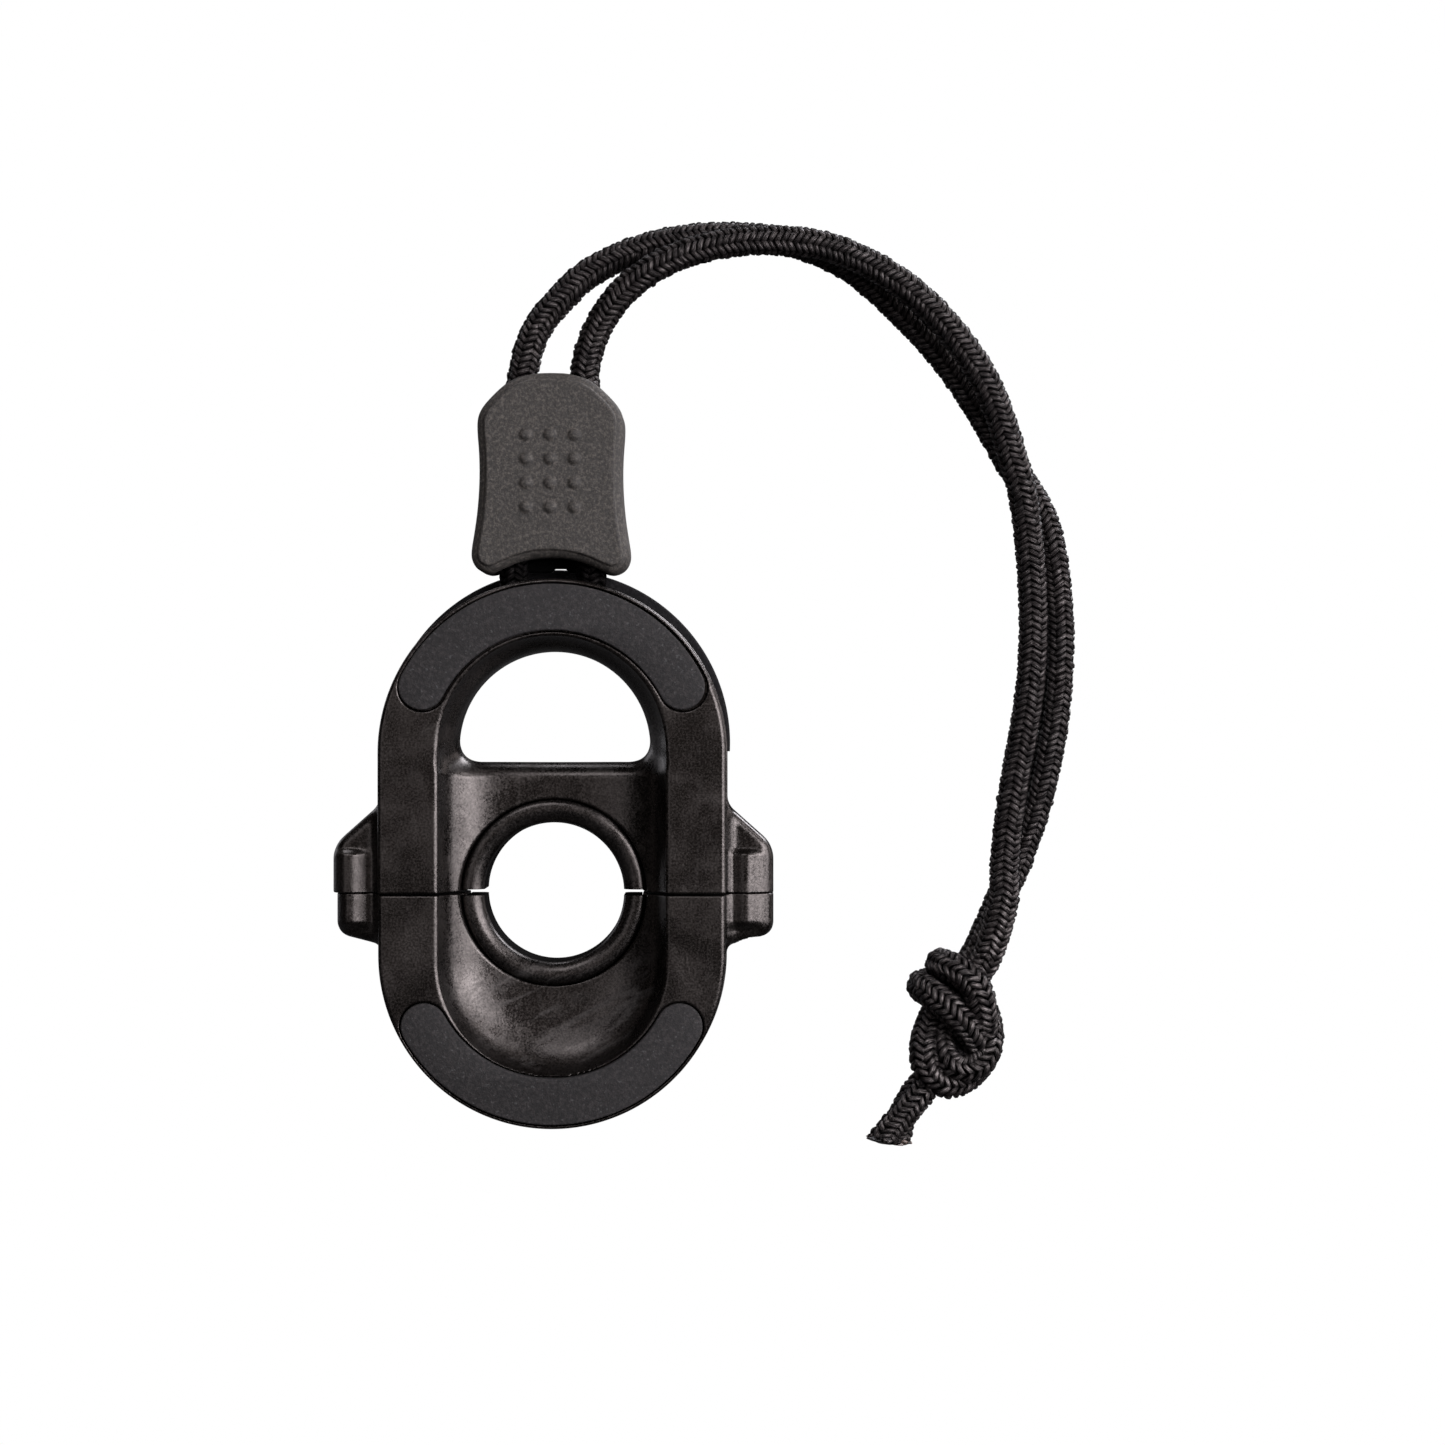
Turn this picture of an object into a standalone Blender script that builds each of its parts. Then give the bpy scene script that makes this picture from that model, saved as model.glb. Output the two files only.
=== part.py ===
"""Split-collar strap lock with a corded pull.

A moulded oval body is split across the centre of its bore. The upper half is
the frame; the lower half is a gate that swings on a shoulder screw in the
right-hand boss and is held shut by magnets in the left-hand boss. A doubled
cord is threaded through the top of the frame, runs through a rubber slider,
loops over and ends in an overhand knot with two cut tails.

Metres, +Z up, front of the lock towards -Y. Dimensions below are in
millimetres measured from the centre of the bore. The finished model is moved
so that its origin lies on the face of the upper rear pad (ORIGIN).
"""

import math

import bmesh
import bpy
from mathutils import Matrix, Vector

MM = 0.001
ORIGIN = (0.0, 5.0, 25.5)  # on the face of the upper rear pad

# ---- driving dimensions (mm) ----
BORE_R = 6.1  # clears a 12 mm jack barrel
RIM_R = 15.05  # outer half width of the body and radius of both ends
TOP_C = 12.25  # height of the centre of the upper end
BOT_C = -5.25  # height of the centre of the lower end
FRONT_Y, BACK_Y = -5.0, 4.4
PART_GAP = 0.12  # each half stands this far off the parting plane
EDGE = 0.45

BOWL_R = 9.85  # half width of the dish at the front
BOWL_TOP_C = 12.55
BOWL_BOT_C = -5.85
BOWL_Y = -1.0  # floor of the dish
WINDOW_R = 8.42
WINDOW_C = 12.66
WINDOW_SILL = 11.4

SEAT_R = 8.15
SEAT_GROOVE_R = 8.65
LINER_R = 8.05
LINER_GAP = 0.22

PAD_IN, PAD_OUT = 10.6, 14.6
PAD_DEPTH = 1.0
PAD_GAP = 0.12
PAD_TOP_SWEEP = (27.0, 153.0)
PAD_BOT_SWEEP = (-151.0, -29.0)
REAR_PAD_Y = (3.6, 5.0)
REAR_LIP_R, REAR_LIP_C = 15.42, 13.05

BOSS_X = 17.0
BOSS_R = 2.2
HINGE_X = 17.0
SCREW_R = 1.0
MAGNET_R = 1.4

CORD_R = 1.38
LEG_X = (-3.6, 3.2)  # the two legs of the cord in the frame
TOP_X = (-2.8, 2.6)  # where the loop leaves the slider
LEG_TOP = 42.4
LIFT_Z = 45.4
BEND = (40.2, 37.7)  # x, z where the strands cross
KNOT_SWING = (39.3, -0.7)
JOINT_CLEAR = 1.56

SLIDER_X = -0.25
SLIDER_HALF_Y = 3.2


# ---- scene ----
for old in list(bpy.data.objects):
    bpy.data.objects.remove(old, do_unlink=True)

PARTS = bpy.data.collections.new("strap_lock")
CUTTERS = bpy.data.collections.new("cutters")
for group in (PARTS, CUTTERS):
    bpy.context.scene.collection.children.link(group)
CUTTERS.hide_render = True


def material(name, colour, roughness, metallic=0.0):
    made = bpy.data.materials.new(name)
    made.use_nodes = True
    shader = made.node_tree.nodes["Principled BSDF"]
    shader.inputs["Base Color"].default_value = (*colour, 1.0)
    shader.inputs["Roughness"].default_value = roughness
    shader.inputs["Metallic"].default_value = metallic
    made.diffuse_color = (*colour, 1.0)
    return made


# ---- shape helpers ----
def solid(name, bm, group=PARTS):
    """One closed mesh object from a bmesh in world metres."""
    bmesh.ops.remove_doubles(bm, verts=bm.verts, dist=2e-6)
    bmesh.ops.recalc_face_normals(bm, faces=bm.faces)
    mesh = bpy.data.meshes.new(name)
    bm.to_mesh(mesh)
    bm.free()
    obj = bpy.data.objects.new(name, mesh)
    group.objects.link(obj)
    if group is CUTTERS:
        obj.hide_render = True
        obj.display_type = "WIRE"
    return obj


def settled(obj, name, group=PARTS):
    """The mesh of a curve or a modified mesh, in place of the object."""
    bpy.context.view_layer.update()
    graph = bpy.context.evaluated_depsgraph_get()
    mesh = bpy.data.meshes.new_from_object(obj.evaluated_get(graph))
    bm = bmesh.new()
    bm.from_mesh(mesh)
    bmesh.ops.transform(bm, matrix=obj.matrix_world.copy(), verts=bm.verts)
    bpy.data.objects.remove(obj, do_unlink=True)
    bpy.data.meshes.remove(mesh)
    return solid(name, bm, group)


def arc(cx, cz, radius, start, end, count):
    """Points on an arc in the XZ plane, angles in degrees from +X."""
    return [
        (
            cx + radius * math.cos(math.radians(start + (end - start) * i / count)),
            cz + radius * math.sin(math.radians(start + (end - start) * i / count)),
        )
        for i in range(count + 1)
    ]


def stadium(radius, top, bottom, count=30):
    return arc(0, top, radius, 0, 180, count) + arc(0, bottom, radius, 180, 360, count)


def window(radius, centre, sill, corner=1.25, count=28):
    """A D lying on its flat: a half round over a level sill with rounded ends."""
    corner = min(corner, centre - sill - 0.08)
    return (
        arc(0, centre, radius, 0, 180, count)
        + arc(corner - radius, sill + corner, corner, 180, 270, 5)
        + arc(radius - corner, sill + corner, corner, 270, 360, 5)
    )


def band(centre, inner, outer, start, end, count=26):
    """An arc-shaped strip with full round ends."""
    mid, half = (inner + outer) / 2, (outer - inner) / 2
    ends = []
    for angle, turn in ((end, 0), (start, 180)):
        x = mid * math.cos(math.radians(angle))
        z = centre + mid * math.sin(math.radians(angle))
        ends.append(arc(x, z, half, angle + turn, angle + turn + 180, 7)[1:-1])
    return (
        arc(0, centre, outer, start, end, count)
        + ends[0]
        + arc(0, centre, inner, end, start, count)
        + ends[1]
    )


def plate(name, outline, y0, y1, edge=0.0, group=PARTS, edge_steps=1):
    """A flat outline in XZ, filled and extruded along Y with rounded edges."""
    curve = bpy.data.curves.new(name, "CURVE")
    curve.dimensions = "2D"
    curve.fill_mode = "BOTH"
    curve.extrude = (abs(y1 - y0) / 2 - edge) * MM
    curve.bevel_depth = edge * MM
    curve.bevel_resolution = edge_steps
    curve.offset = -edge * MM
    line = curve.splines.new("POLY")
    line.points.add(len(outline) - 1)
    for point, (x, z) in zip(line.points, outline):
        point.co = (x * MM, z * MM, 0, 1)
    line.use_cyclic_u = True
    obj = bpy.data.objects.new(name + "_outline", curve)
    obj.rotation_euler = (math.pi / 2, 0, 0)
    obj.location = (0, (y0 + y1) / 2 * MM, 0)
    bpy.context.scene.collection.objects.link(obj)
    return settled(obj, name, group)


def loft(name, rings, group=CUTTERS):
    """Closed solid through rings of (x, y, z), all with the same point count."""
    bm = bmesh.new()
    rows = [[bm.verts.new(Vector(p) * MM) for p in ring] for ring in rings]
    for low, high in zip(rows, rows[1:]):
        for i in range(len(low)):
            j = (i + 1) % len(low)
            bm.faces.new((low[i], low[j], high[j], high[i]))
    bm.faces.new(rows[0][::-1])
    bm.faces.new(rows[-1])
    return solid(name, bm, group)


def at_depth(outline, y):
    return [(x, y, z) for x, z in outline]


def cylinder(name, centre, radius, length, axis, sides=32, group=PARTS, top=None):
    """A cylinder or cone. Centre in mm; axis is X, Y or Z."""
    bm = bmesh.new()
    bmesh.ops.create_cone(
        bm,
        cap_ends=True,
        segments=sides,
        radius1=radius * MM,
        radius2=(radius if top is None else top) * MM,
        depth=length * MM,
    )
    turn = {
        "Z": Matrix(),
        "Y": Matrix.Rotation(math.pi / 2, 4, "X"),
        "X": Matrix.Rotation(math.pi / 2, 4, "Y"),
    }[axis]
    bmesh.ops.transform(
        bm, matrix=Matrix.Translation(Vector(centre) * MM) @ turn, verts=bm.verts
    )
    return solid(name, bm, group)


def box(name, low, high, group=CUTTERS):
    bm = bmesh.new()
    bmesh.ops.create_cube(bm, size=1)
    size = Vector(high) - Vector(low)
    middle = (Vector(high) + Vector(low)) / 2
    bmesh.ops.transform(
        bm,
        matrix=Matrix.Translation(middle * MM) @ Matrix.Diagonal((*(size * MM), 1)),
        verts=bm.verts,
    )
    return solid(name, bm, group)


def turned(name, profile, axis, at=(0, 0, 0), steps=48, group=PARTS):
    """A profile of (radius, height) turned about Y or Z."""
    mesh = bpy.data.meshes.new(name + "_profile")
    points = [
        (r * MM, h * MM, 0) if axis == "Y" else (r * MM, 0, h * MM) for r, h in profile
    ]
    closed = profile[0][0] > 0
    count = len(points)
    edges = [(i, i + 1) for i in range(count - 1)] + ([(count - 1, 0)] if closed else [])
    mesh.from_pydata(points, edges, [])
    obj = bpy.data.objects.new(name + "_profile", mesh)
    obj.location = Vector(at) * MM
    bpy.context.scene.collection.objects.link(obj)
    screw = obj.modifiers.new("turn", "SCREW")
    screw.axis = axis
    screw.steps = screw.render_steps = steps
    screw.use_merge_vertices = True
    screw.merge_threshold = 1e-6
    return settled(obj, name, group)


def smooth_path(points, per_span=4):
    """A centripetal run of points through the given ones (x, y, z)."""
    given = [Vector(p) for p in points]
    given = [2 * given[0] - given[1]] + given + [2 * given[-1] - given[-2]]
    run = []
    for a, b, c, d in zip(given, given[1:], given[2:], given[3:]):
        for i in range(per_span):
            t = i / per_span
            run.append(
                0.5
                * (
                    2 * b
                    + (c - a) * t
                    + (2 * a - 5 * b + 4 * c - d) * t * t
                    + (3 * b - a - 3 * c + d) * t**3
                )
            )
    run.append(given[-2])
    return run


def evenly(run, spacing):
    """The same path with points about this far apart."""
    lengths = [0.0]
    for a, b in zip(run, run[1:]):
        lengths.append(lengths[-1] + (b - a).length)
    count = max(2, round(lengths[-1] / spacing))
    out, i = [], 0
    for k in range(count + 1):
        want = lengths[-1] * k / count
        while i < len(lengths) - 2 and lengths[i + 1] < want:
            i += 1
        step = lengths[i + 1] - lengths[i]
        out.append(run[i].lerp(run[i + 1], (want - lengths[i]) / step if step else 0))
    return out


def rope(name, path, radius, round_ends=(True, True), group=PARTS, spacing=1.9):
    """A cord of round section along a path in mm, with domed ends."""
    path = evenly(path, spacing)
    radii = [1.0] * len(path)
    for end in (0, 1):
        if not round_ends[end]:
            continue
        line = path if end == 0 else path[::-1]
        tip, inward = line[0], (line[1] - line[0]).normalized()
        dome = [
            (tip - inward * radius * math.cos(a), max(math.sin(a), 0.12))
            for a in (0.0, math.radians(32), math.radians(62))
        ]
        extra = [p for p, _ in dome]
        if end == 0:
            path, radii = extra + path, [r for _, r in dome] + radii
        else:
            path, radii = path + extra[::-1], radii + [r for _, r in dome][::-1]
    curve = bpy.data.curves.new(name, "CURVE")
    curve.dimensions = "3D"
    curve.bevel_depth = radius * MM
    curve.bevel_resolution = 2
    curve.use_fill_caps = True
    line = curve.splines.new("POLY")
    line.points.add(len(path) - 1)
    for point, at, scale in zip(line.points, path, radii):
        point.co = (*(at * MM), 1)
        point.radius = scale
    obj = bpy.data.objects.new(name + "_line", curve)
    bpy.context.scene.collection.objects.link(obj)
    return settled(obj, name, group)


def change(obj, other, operation="DIFFERENCE"):
    step = obj.modifiers.new(other.name, "BOOLEAN")
    step.operation = operation
    step.object = other
    step.solver = "EXACT"
    return obj


def helper(make, *args, **options):
    return make(*args, group=CUTTERS, **options)


# ---- moulded body: shared shapes ----
def boss_section(x, radius, z, side, inner=12.5, count=14):
    """A D-shaped level section of a boss, its round side outwards."""
    ring = [
        (
            side * (x + radius * math.cos(math.radians(-90 + 180 * i / count))),
            radius * math.sin(math.radians(-90 + 180 * i / count)),
            z,
        )
        for i in range(count + 1)
    ]
    return ring + [(side * inner, radius, z), (side * inner, -radius, z)]


def boss(name, side, upper, radius=BOSS_R, reach=0.0):
    """A hinge or latch boss: a round lug with a sloping shoulder into the rim."""
    x = BOSS_X - reach
    if upper:
        levels = ((x, radius, -0.5), (x, radius, 3.7), (x - 0.3, radius - 0.1, 4.45))
        shoulder = [(x - 1.6, radius - 0.25, 5.7), (x - 3.6, radius - 0.5, 7.5)]
        inner = 12.5
        rings = [boss_section(a, r, z, side, inner) for a, r, z in levels]
        rings += [boss_section(a, r, z, side, inner - 0.6) for a, r, z in shoulder]
    else:
        levels = (
            (x, radius, 0.5),
            (x, radius, -2.9),
            (x - 0.1, radius - 0.12, -3.5),
            (x - 0.35, radius - 0.45, -4.05),
        )
        rings = [boss_section(a, r, z, side) for a, r, z in levels]
    return loft(name, rings)


def dish():
    """The front recess: steep at the rim, flattening towards the collar."""
    rings = [at_depth(stadium(BOWL_R + 0.85, BOWL_TOP_C, BOWL_BOT_C), FRONT_Y - 0.6)]
    steps = 6
    for k in range(steps + 1):
        t = k / steps
        radius = BOWL_R + (WINDOW_R + 0.03 - BOWL_R) * t
        top = BOWL_TOP_C + (WINDOW_C - BOWL_TOP_C) * t
        bottom = BOWL_BOT_C * (1 - t)
        start = FRONT_Y + 0.25
        y = start + (BOWL_Y - start) * math.sin(t * math.pi / 2) ** 0.9
        rings.append(at_depth(stadium(radius, top, bottom), y))
    return loft("dish_cut", rings)


def window_flare():
    rings = [
        at_depth(window(WINDOW_R - 0.37, WINDOW_C + 0.07, WINDOW_SILL + 0.3), 0.1),
        at_depth(window(WINDOW_R + 0.95, WINDOW_C, WINDOW_SILL - 0.6), BACK_Y + 1),
    ]
    return loft("window_flare_cut", rings)


def rear_lip_outline(grow=0.0):
    """The upper rear pad: a half ring standing slightly proud of the body."""
    foot = TOP_C + 0.05 - grow
    outer = arc(0, REAR_LIP_C, REAR_LIP_R + grow, 0, 180, 34)
    outer = [p for p in outer if p[1] > foot + 0.4]
    inner = arc(0, TOP_C, PAD_IN - 0.1 - grow, 180, 0, 28)
    inner = [p for p in inner if p[1] > foot + 0.3]
    return (
        [(REAR_LIP_R + grow - 0.02, foot)]
        + outer
        + [(-REAR_LIP_R - grow + 0.02, foot)]
        + [(-PAD_IN + 0.1 + grow, foot)]
        + inner
        + [(PAD_IN - 0.1 - grow, foot)]
    )


dish_cut = dish()
flare_cut = window_flare()
window_cut = helper(
    plate, "window_cut", window(WINDOW_R, WINDOW_C, WINDOW_SILL), -3.0, 7.0
)
seat_cut = helper(cylinder, "seat_cut", (0, 2.5, 0), SEAT_R, 9.0, "Y", sides=64)
groove_cut = helper(
    cylinder, "seat_groove_cut", (0, 1.9, 0), SEAT_GROOVE_R, 1.6, "Y", sides=64
)
above = box("above_cut", (-30, -15, -PART_GAP), (30, 15, 45))
below = box("below_cut", (-30, -15, -45), (30, 15, PART_GAP))

PLASTIC = material("moulded_nylon", (0.012, 0.012, 0.013), 0.34)
LINER = material("liner_nylon", (0.014, 0.014, 0.015), 0.3)
PAD = material("pad_rubber", (0.03, 0.03, 0.032), 0.85)
GRIP = material("slider_rubber", (0.04, 0.039, 0.04), 0.75)
STEEL = material("screw_steel", (0.45, 0.46, 0.48), 0.3, 1.0)
BRASS = material("insert_brass", (0.6, 0.43, 0.18), 0.35, 1.0)
NICKEL = material("magnet_nickel", (0.62, 0.61, 0.58), 0.22, 1.0)
CORD = material("cord_nylon", (0.015, 0.015, 0.016), 0.7)

# ---- the frame (upper half) ----
upper_frame = plate(
    "upper_frame", stadium(RIM_R, TOP_C, BOT_C), FRONT_Y, BACK_Y, EDGE, edge_steps=2
)
change(upper_frame, boss("upper_hinge_boss", 1, True), "UNION")
change(upper_frame, boss("upper_latch_boss", -1, True, reach=-0.1), "UNION")
for cut in (dish_cut, window_cut, flare_cut, seat_cut, groove_cut):
    change(upper_frame, cut)
change(
    upper_frame,
    helper(
        plate,
        "upper_front_pocket",
        band(TOP_C, PAD_IN - PAD_GAP, PAD_OUT + PAD_GAP, *PAD_TOP_SWEEP),
        FRONT_Y - 1,
        FRONT_Y + PAD_DEPTH + 0.05,
    ),
)
change(
    upper_frame,
    helper(
        plate, "upper_rear_rebate", rear_lip_outline(0.12), REAR_PAD_Y[0] - 0.1, BACK_Y + 1
    ),
)


def cord_legs(low, high):
    """The bight: down one hole, across inside the rim, up the other."""
    left, right = LEG_X
    turn = 1.9
    points = [(left, 0, high - k * (high - low - turn) / 9) for k in range(10)]
    points += [(x, 0, z) for x, z in arc(left + turn, low + turn, turn, 180, 270, 6)[1:]]
    points += [(0.0, 0, low)]
    points += [(x, 0, z) for x, z in arc(right - turn, low + turn, turn, 270, 360, 6)]
    points += [
        (right, 0, low + turn + k * (high - low - turn) / 9) for k in range(1, 10)
    ]
    return [Vector(p) for p in points]


BIGHT_Z = 24.75
change(
    upper_frame,
    helper(
        rope,
        "cord_tunnel",
        cord_legs(BIGHT_Z, 29.5),
        CORD_R + 0.3,
        round_ends=(False, False),
        spacing=0.9,
    ),
)
change(
    upper_frame,
    helper(cylinder, "insert_hole", (HINGE_X, 0, 1.7), 1.56, 4.2, "Z", sides=24),
)
change(
    upper_frame,
    helper(
        cylinder,
        "frame_magnet_hole",
        (-BOSS_X - 0.1, 0, 0.8),
        MAGNET_R + 0.08,
        2.2,
        "Z",
        sides=24,
    ),
)
change(upper_frame, below)

# ---- the gate (lower half) ----
lower_gate = plate(
    "lower_gate", stadium(RIM_R - 0.06, TOP_C, BOT_C), FRONT_Y, BACK_Y, EDGE, edge_steps=2
)
change(lower_gate, boss("lower_hinge_boss", 1, False), "UNION")
change(lower_gate, boss("lower_latch_boss", -1, False, radius=2.1, reach=0.15), "UNION")
for cut in (dish_cut, seat_cut, groove_cut):
    change(lower_gate, cut)
change(
    lower_gate,
    helper(
        plate,
        "lower_front_pocket",
        band(BOT_C, PAD_IN - PAD_GAP, PAD_OUT + PAD_GAP, *PAD_BOT_SWEEP),
        FRONT_Y - 1,
        FRONT_Y + PAD_DEPTH + 0.05,
    ),
)
change(
    lower_gate,
    helper(
        plate,
        "lower_rear_pocket",
        band(BOT_C, PAD_IN - PAD_GAP, PAD_OUT + PAD_GAP, *PAD_BOT_SWEEP),
        REAR_PAD_Y[0] - 0.1,
        BACK_Y + 1,
    ),
)
change(
    lower_gate,
    helper(
        cylinder, "screw_hole", (HINGE_X, 0, -1.5), SCREW_R + 0.2, 5.0, "Z", sides=24
    ),
)
change(
    lower_gate,
    helper(cylinder, "head_hole", (HINGE_X, 0, -4.1), 1.6, 2.2, "Z", sides=24),
)
change(
    lower_gate,
    helper(
        cylinder,
        "gate_magnet_hole",
        (-BOSS_X - 0.1, 0, -0.8),
        MAGNET_R + 0.08,
        2.2,
        "Z",
        sides=24,
    ),
)
change(lower_gate, above)

# ---- pads ----
pads = [
    plate(
        "upper_front_pad",
        band(TOP_C, PAD_IN, PAD_OUT, *PAD_TOP_SWEEP),
        FRONT_Y - 0.06,
        FRONT_Y + PAD_DEPTH - 0.05,
        0.12,
        edge_steps=0,
    ),
    plate(
        "lower_front_pad",
        band(BOT_C, PAD_IN, PAD_OUT, *PAD_BOT_SWEEP),
        FRONT_Y - 0.06,
        FRONT_Y + PAD_DEPTH - 0.05,
        0.12,
        edge_steps=0,
    ),
    plate("upper_rear_pad", rear_lip_outline(), *REAR_PAD_Y, 0.2, edge_steps=0),
    plate(
        "lower_rear_pad",
        band(BOT_C, PAD_IN, PAD_OUT, *PAD_BOT_SWEEP),
        *REAR_PAD_Y,
        0.2,
        edge_steps=0,
    ),
]

# ---- jaw liners: a turned collar, cut in half ----
LINER_PROFILE = (
    (LINER_R, 4.3),
    (LINER_R, 2.55),
    (LINER_R + 0.48, 2.55),
    (LINER_R + 0.48, 1.25),
    (LINER_R, 1.25),
    (LINER_R, -0.75),
    (LINER_R - 0.2, -0.95),
    (LINER_R - 0.5, -0.95),
    (7.25, -1.35),
    (6.85, -1.5),
    (6.5, -1.4),
    (6.22, -1.1),
    (BORE_R, -0.6),
    (BORE_R, 3.9),
    (BORE_R + 0.4, 4.3),
)
jaws = []
for name, cut in (("upper_jaw_liner", "low"), ("lower_jaw_liner", "high")):
    jaw = turned(name, LINER_PROFILE, "Y", steps=60)
    half = (
        box("jaw_below_cut", (-12, -6, -12), (12, 8, LINER_GAP))
        if cut == "low"
        else box("jaw_above_cut", (-12, -6, -LINER_GAP), (12, 8, 12))
    )
    change(jaw, half)
    jaws.append(jaw)

# ---- hinge hardware ----
pivot_screw = turned(
    "pivot_screw",
    (
        (0, 3.5),
        (0.6, 3.5),
        (0.8, 3.3),
        (0.8, 0.2),
        (SCREW_R, 0.2),
        (SCREW_R, -3.15),
        (1.35, -3.15),
        (1.35, -3.85),
        (1.25, -3.98),
        (0, -3.98),
    ),
    "Z",
    at=(HINGE_X, 0, 0),
    steps=24,
)
change(
    pivot_screw,
    helper(cylinder, "hex_socket", (HINGE_X, 0, -4.0), 0.72, 1.0, "Z", sides=6),
)
pivot_insert = turned(
    "pivot_insert",
    (
        (1.48, 3.7),
        (1.48, 2.4),
        (1.3, 2.3),
        (1.3, 1.9),
        (1.48, 1.8),
        (1.48, 0.4),
        (0.95, 0.4),
        (0.95, 3.7),
    ),
    "Z",
    at=(HINGE_X, 0, 0),
    steps=24,
)
frame_magnet = cylinder(
    "frame_magnet", (-BOSS_X - 0.1, 0, 1.05), MAGNET_R, 1.5, "Z", sides=24
)
gate_magnet = cylinder(
    "gate_magnet", (-BOSS_X - 0.1, 0, -1.05), MAGNET_R, 1.5, "Z", sides=24
)

# ---- slider ----
SLIDER_SIDE = (  # half outline from the top centre down: x from the middle, z
    (0.0, 45.35),
    (2.0, 45.3),
    (3.3, 45.05),
    (4.3, 44.35),
    (5.5, 43.1),
    (6.15, 42.3),
    (6.4, 41.5),
    (6.38, 40.3),
    (6.25, 38.5),
    (6.2, 36.8),
    (6.25, 35.0),
    (6.42, 33.0),
    (6.68, 31.2),
    (6.88, 29.9),
    (6.85, 29.1),
    (6.5, 28.4),
    (5.9, 27.98),
    (5.2, 27.87),
    (4.4, 28.15),
    (3.0, 28.75),
    (1.5, 29.15),
    (0.0, 29.27),
)
outline = [(SLIDER_X + x, z) for x, z in SLIDER_SIDE]
outline += [(SLIDER_X - x, z) for x, z in SLIDER_SIDE[-2:0:-1]]
cord_slider = plate(
    "cord_slider", outline, -SLIDER_HALF_Y, SLIDER_HALF_Y, 0.7, edge_steps=1
)
for side in (0, 1):
    name = ("left", "right")[side]
    leg = helper(
        cylinder,
        f"leg_hole_{name}",
        (LEG_X[side], 0, 35.0),
        CORD_R + 0.3,
        16.6,
        "Z",
        sides=20,
    )
    mouth = helper(
        cylinder,
        f"mouth_{name}",
        (TOP_X[side], 0, 45.0),
        CORD_R + 0.32,
        2.6,
        "Z",
        sides=20,
        top=2.75,
    )
    inner = helper(
        cylinder,
        f"inner_hole_{name}",
        (TOP_X[side], 0, 43.6),
        CORD_R + 0.34,
        2.0,
        "Z",
        sides=20,
    )
    for cut in (leg, mouth, inner):
        change(cord_slider, cut)
for row in range(4):
    for column in range(3):
        dot = helper(
            cylinder,
            f"grip_dot_{row}_{column}",
            (
                SLIDER_X + (column - 1) * 2.1,
                -SLIDER_HALF_Y + 0.05,
                39.9 - row * 2.1,
            ),
            0.5,
            0.5,
            "Y",
            sides=12,
        )
        change(cord_slider, dot, "UNION")

# ---- cord ----
cord_bight = rope("cord_bight", cord_legs(BIGHT_Z, LEG_TOP), CORD_R, spacing=1.3)

STRAND_A = (  # outer strand where it leaves the slider; passes behind
    (TOP_X[0], 0.0, LIFT_Z),
    (-2.15, 0.0, 48.2),
    (-1.2, 0.2, 50.1),
    (0.3, 0.6, 52.0),
    (2.9, 1.1, 54.5),
    (6.6, 1.45, 56.4),
    (10.2, 1.5, 57.4),
    (13.8, 1.5, 57.8),
    (17.8, 1.5, 57.7),
    (21.6, 1.5, 57.1),
    (25.2, 1.5, 55.6),
    (28.2, 1.5, 53.4),
    (32.5, 1.5, 49.2),
    (35.8, 1.5, 45.1),
    (38.7, 1.5, 40.4),
    (40.2, 1.5, 37.7),
    (41.8, 1.45, 35.3),
    (43.0, 1.1, 33.0),
    (43.8, 0.8, 30.0),
    (44.2, 0.7, 26.8),
    (44.4, 0.6, 23.5),
    (44.4, 0.6, 20.3),
    (44.2, 0.6, 17.1),
    (43.8, 0.7, 13.9),
    (43.2, 0.8, 10.7),
    (42.5, 1.1, 7.6),
    (41.6, 1.4, 4.8),
    (40.6, 1.5, 2.0),
    (39.3, 1.5, -0.7),
)
STRAND_B = (  # inner strand where it leaves the slider; passes in front
    (TOP_X[1], 0.0, LIFT_Z),
    (3.15, 0.0, 48.0),
    (4.2, -0.3, 50.3),
    (5.9, -0.9, 52.5),
    (8.2, -1.45, 54.3),
    (11.0, -1.5, 55.7),
    (14.1, -1.5, 56.6),
    (17.2, -1.5, 57.0),
    (20.3, -1.5, 57.0),
    (23.3, -1.5, 56.6),
    (26.0, -1.5, 55.7),
    (28.6, -1.5, 54.4),
    (31.1, -1.5, 52.7),
    (33.5, -1.5, 50.5),
    (35.6, -1.5, 48.0),
    (37.5, -1.5, 45.1),
    (39.0, -1.5, 41.6),
    (40.2, -1.5, 37.7),
    (40.8, -1.45, 35.7),
    (41.3, -1.1, 33.2),
    (41.7, -0.9, 29.9),
    (41.9, -0.9, 26.8),
    (42.0, -0.9, 23.5),
    (41.9, -0.9, 20.3),
    (41.6, -0.9, 17.1),
    (41.1, -0.9, 13.9),
    (40.5, -0.9, 10.7),
    (40.0, -1.1, 7.6),
    (39.6, -1.4, 4.8),
    (39.4, -1.5, 2.2),
    (39.3, -1.5, -0.7),
)


def stretch(path, past=None, until=None):
    """The part of a path beyond one joint and short of another."""
    near = path
    if past:
        start = min(range(len(path)), key=lambda i: math.dist((path[i].x, path[i].z), past))
        near = [
            p for p in path[start:] if math.dist((p.x, p.z), past) >= JOINT_CLEAR
        ]
    if until:
        stop = min(range(len(near)), key=lambda i: math.dist((near[i].x, near[i].z), until))
        near = [
            p for p in near[: stop + 1] if math.dist((p.x, p.z), until) >= JOINT_CLEAR
        ]
    return near


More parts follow.
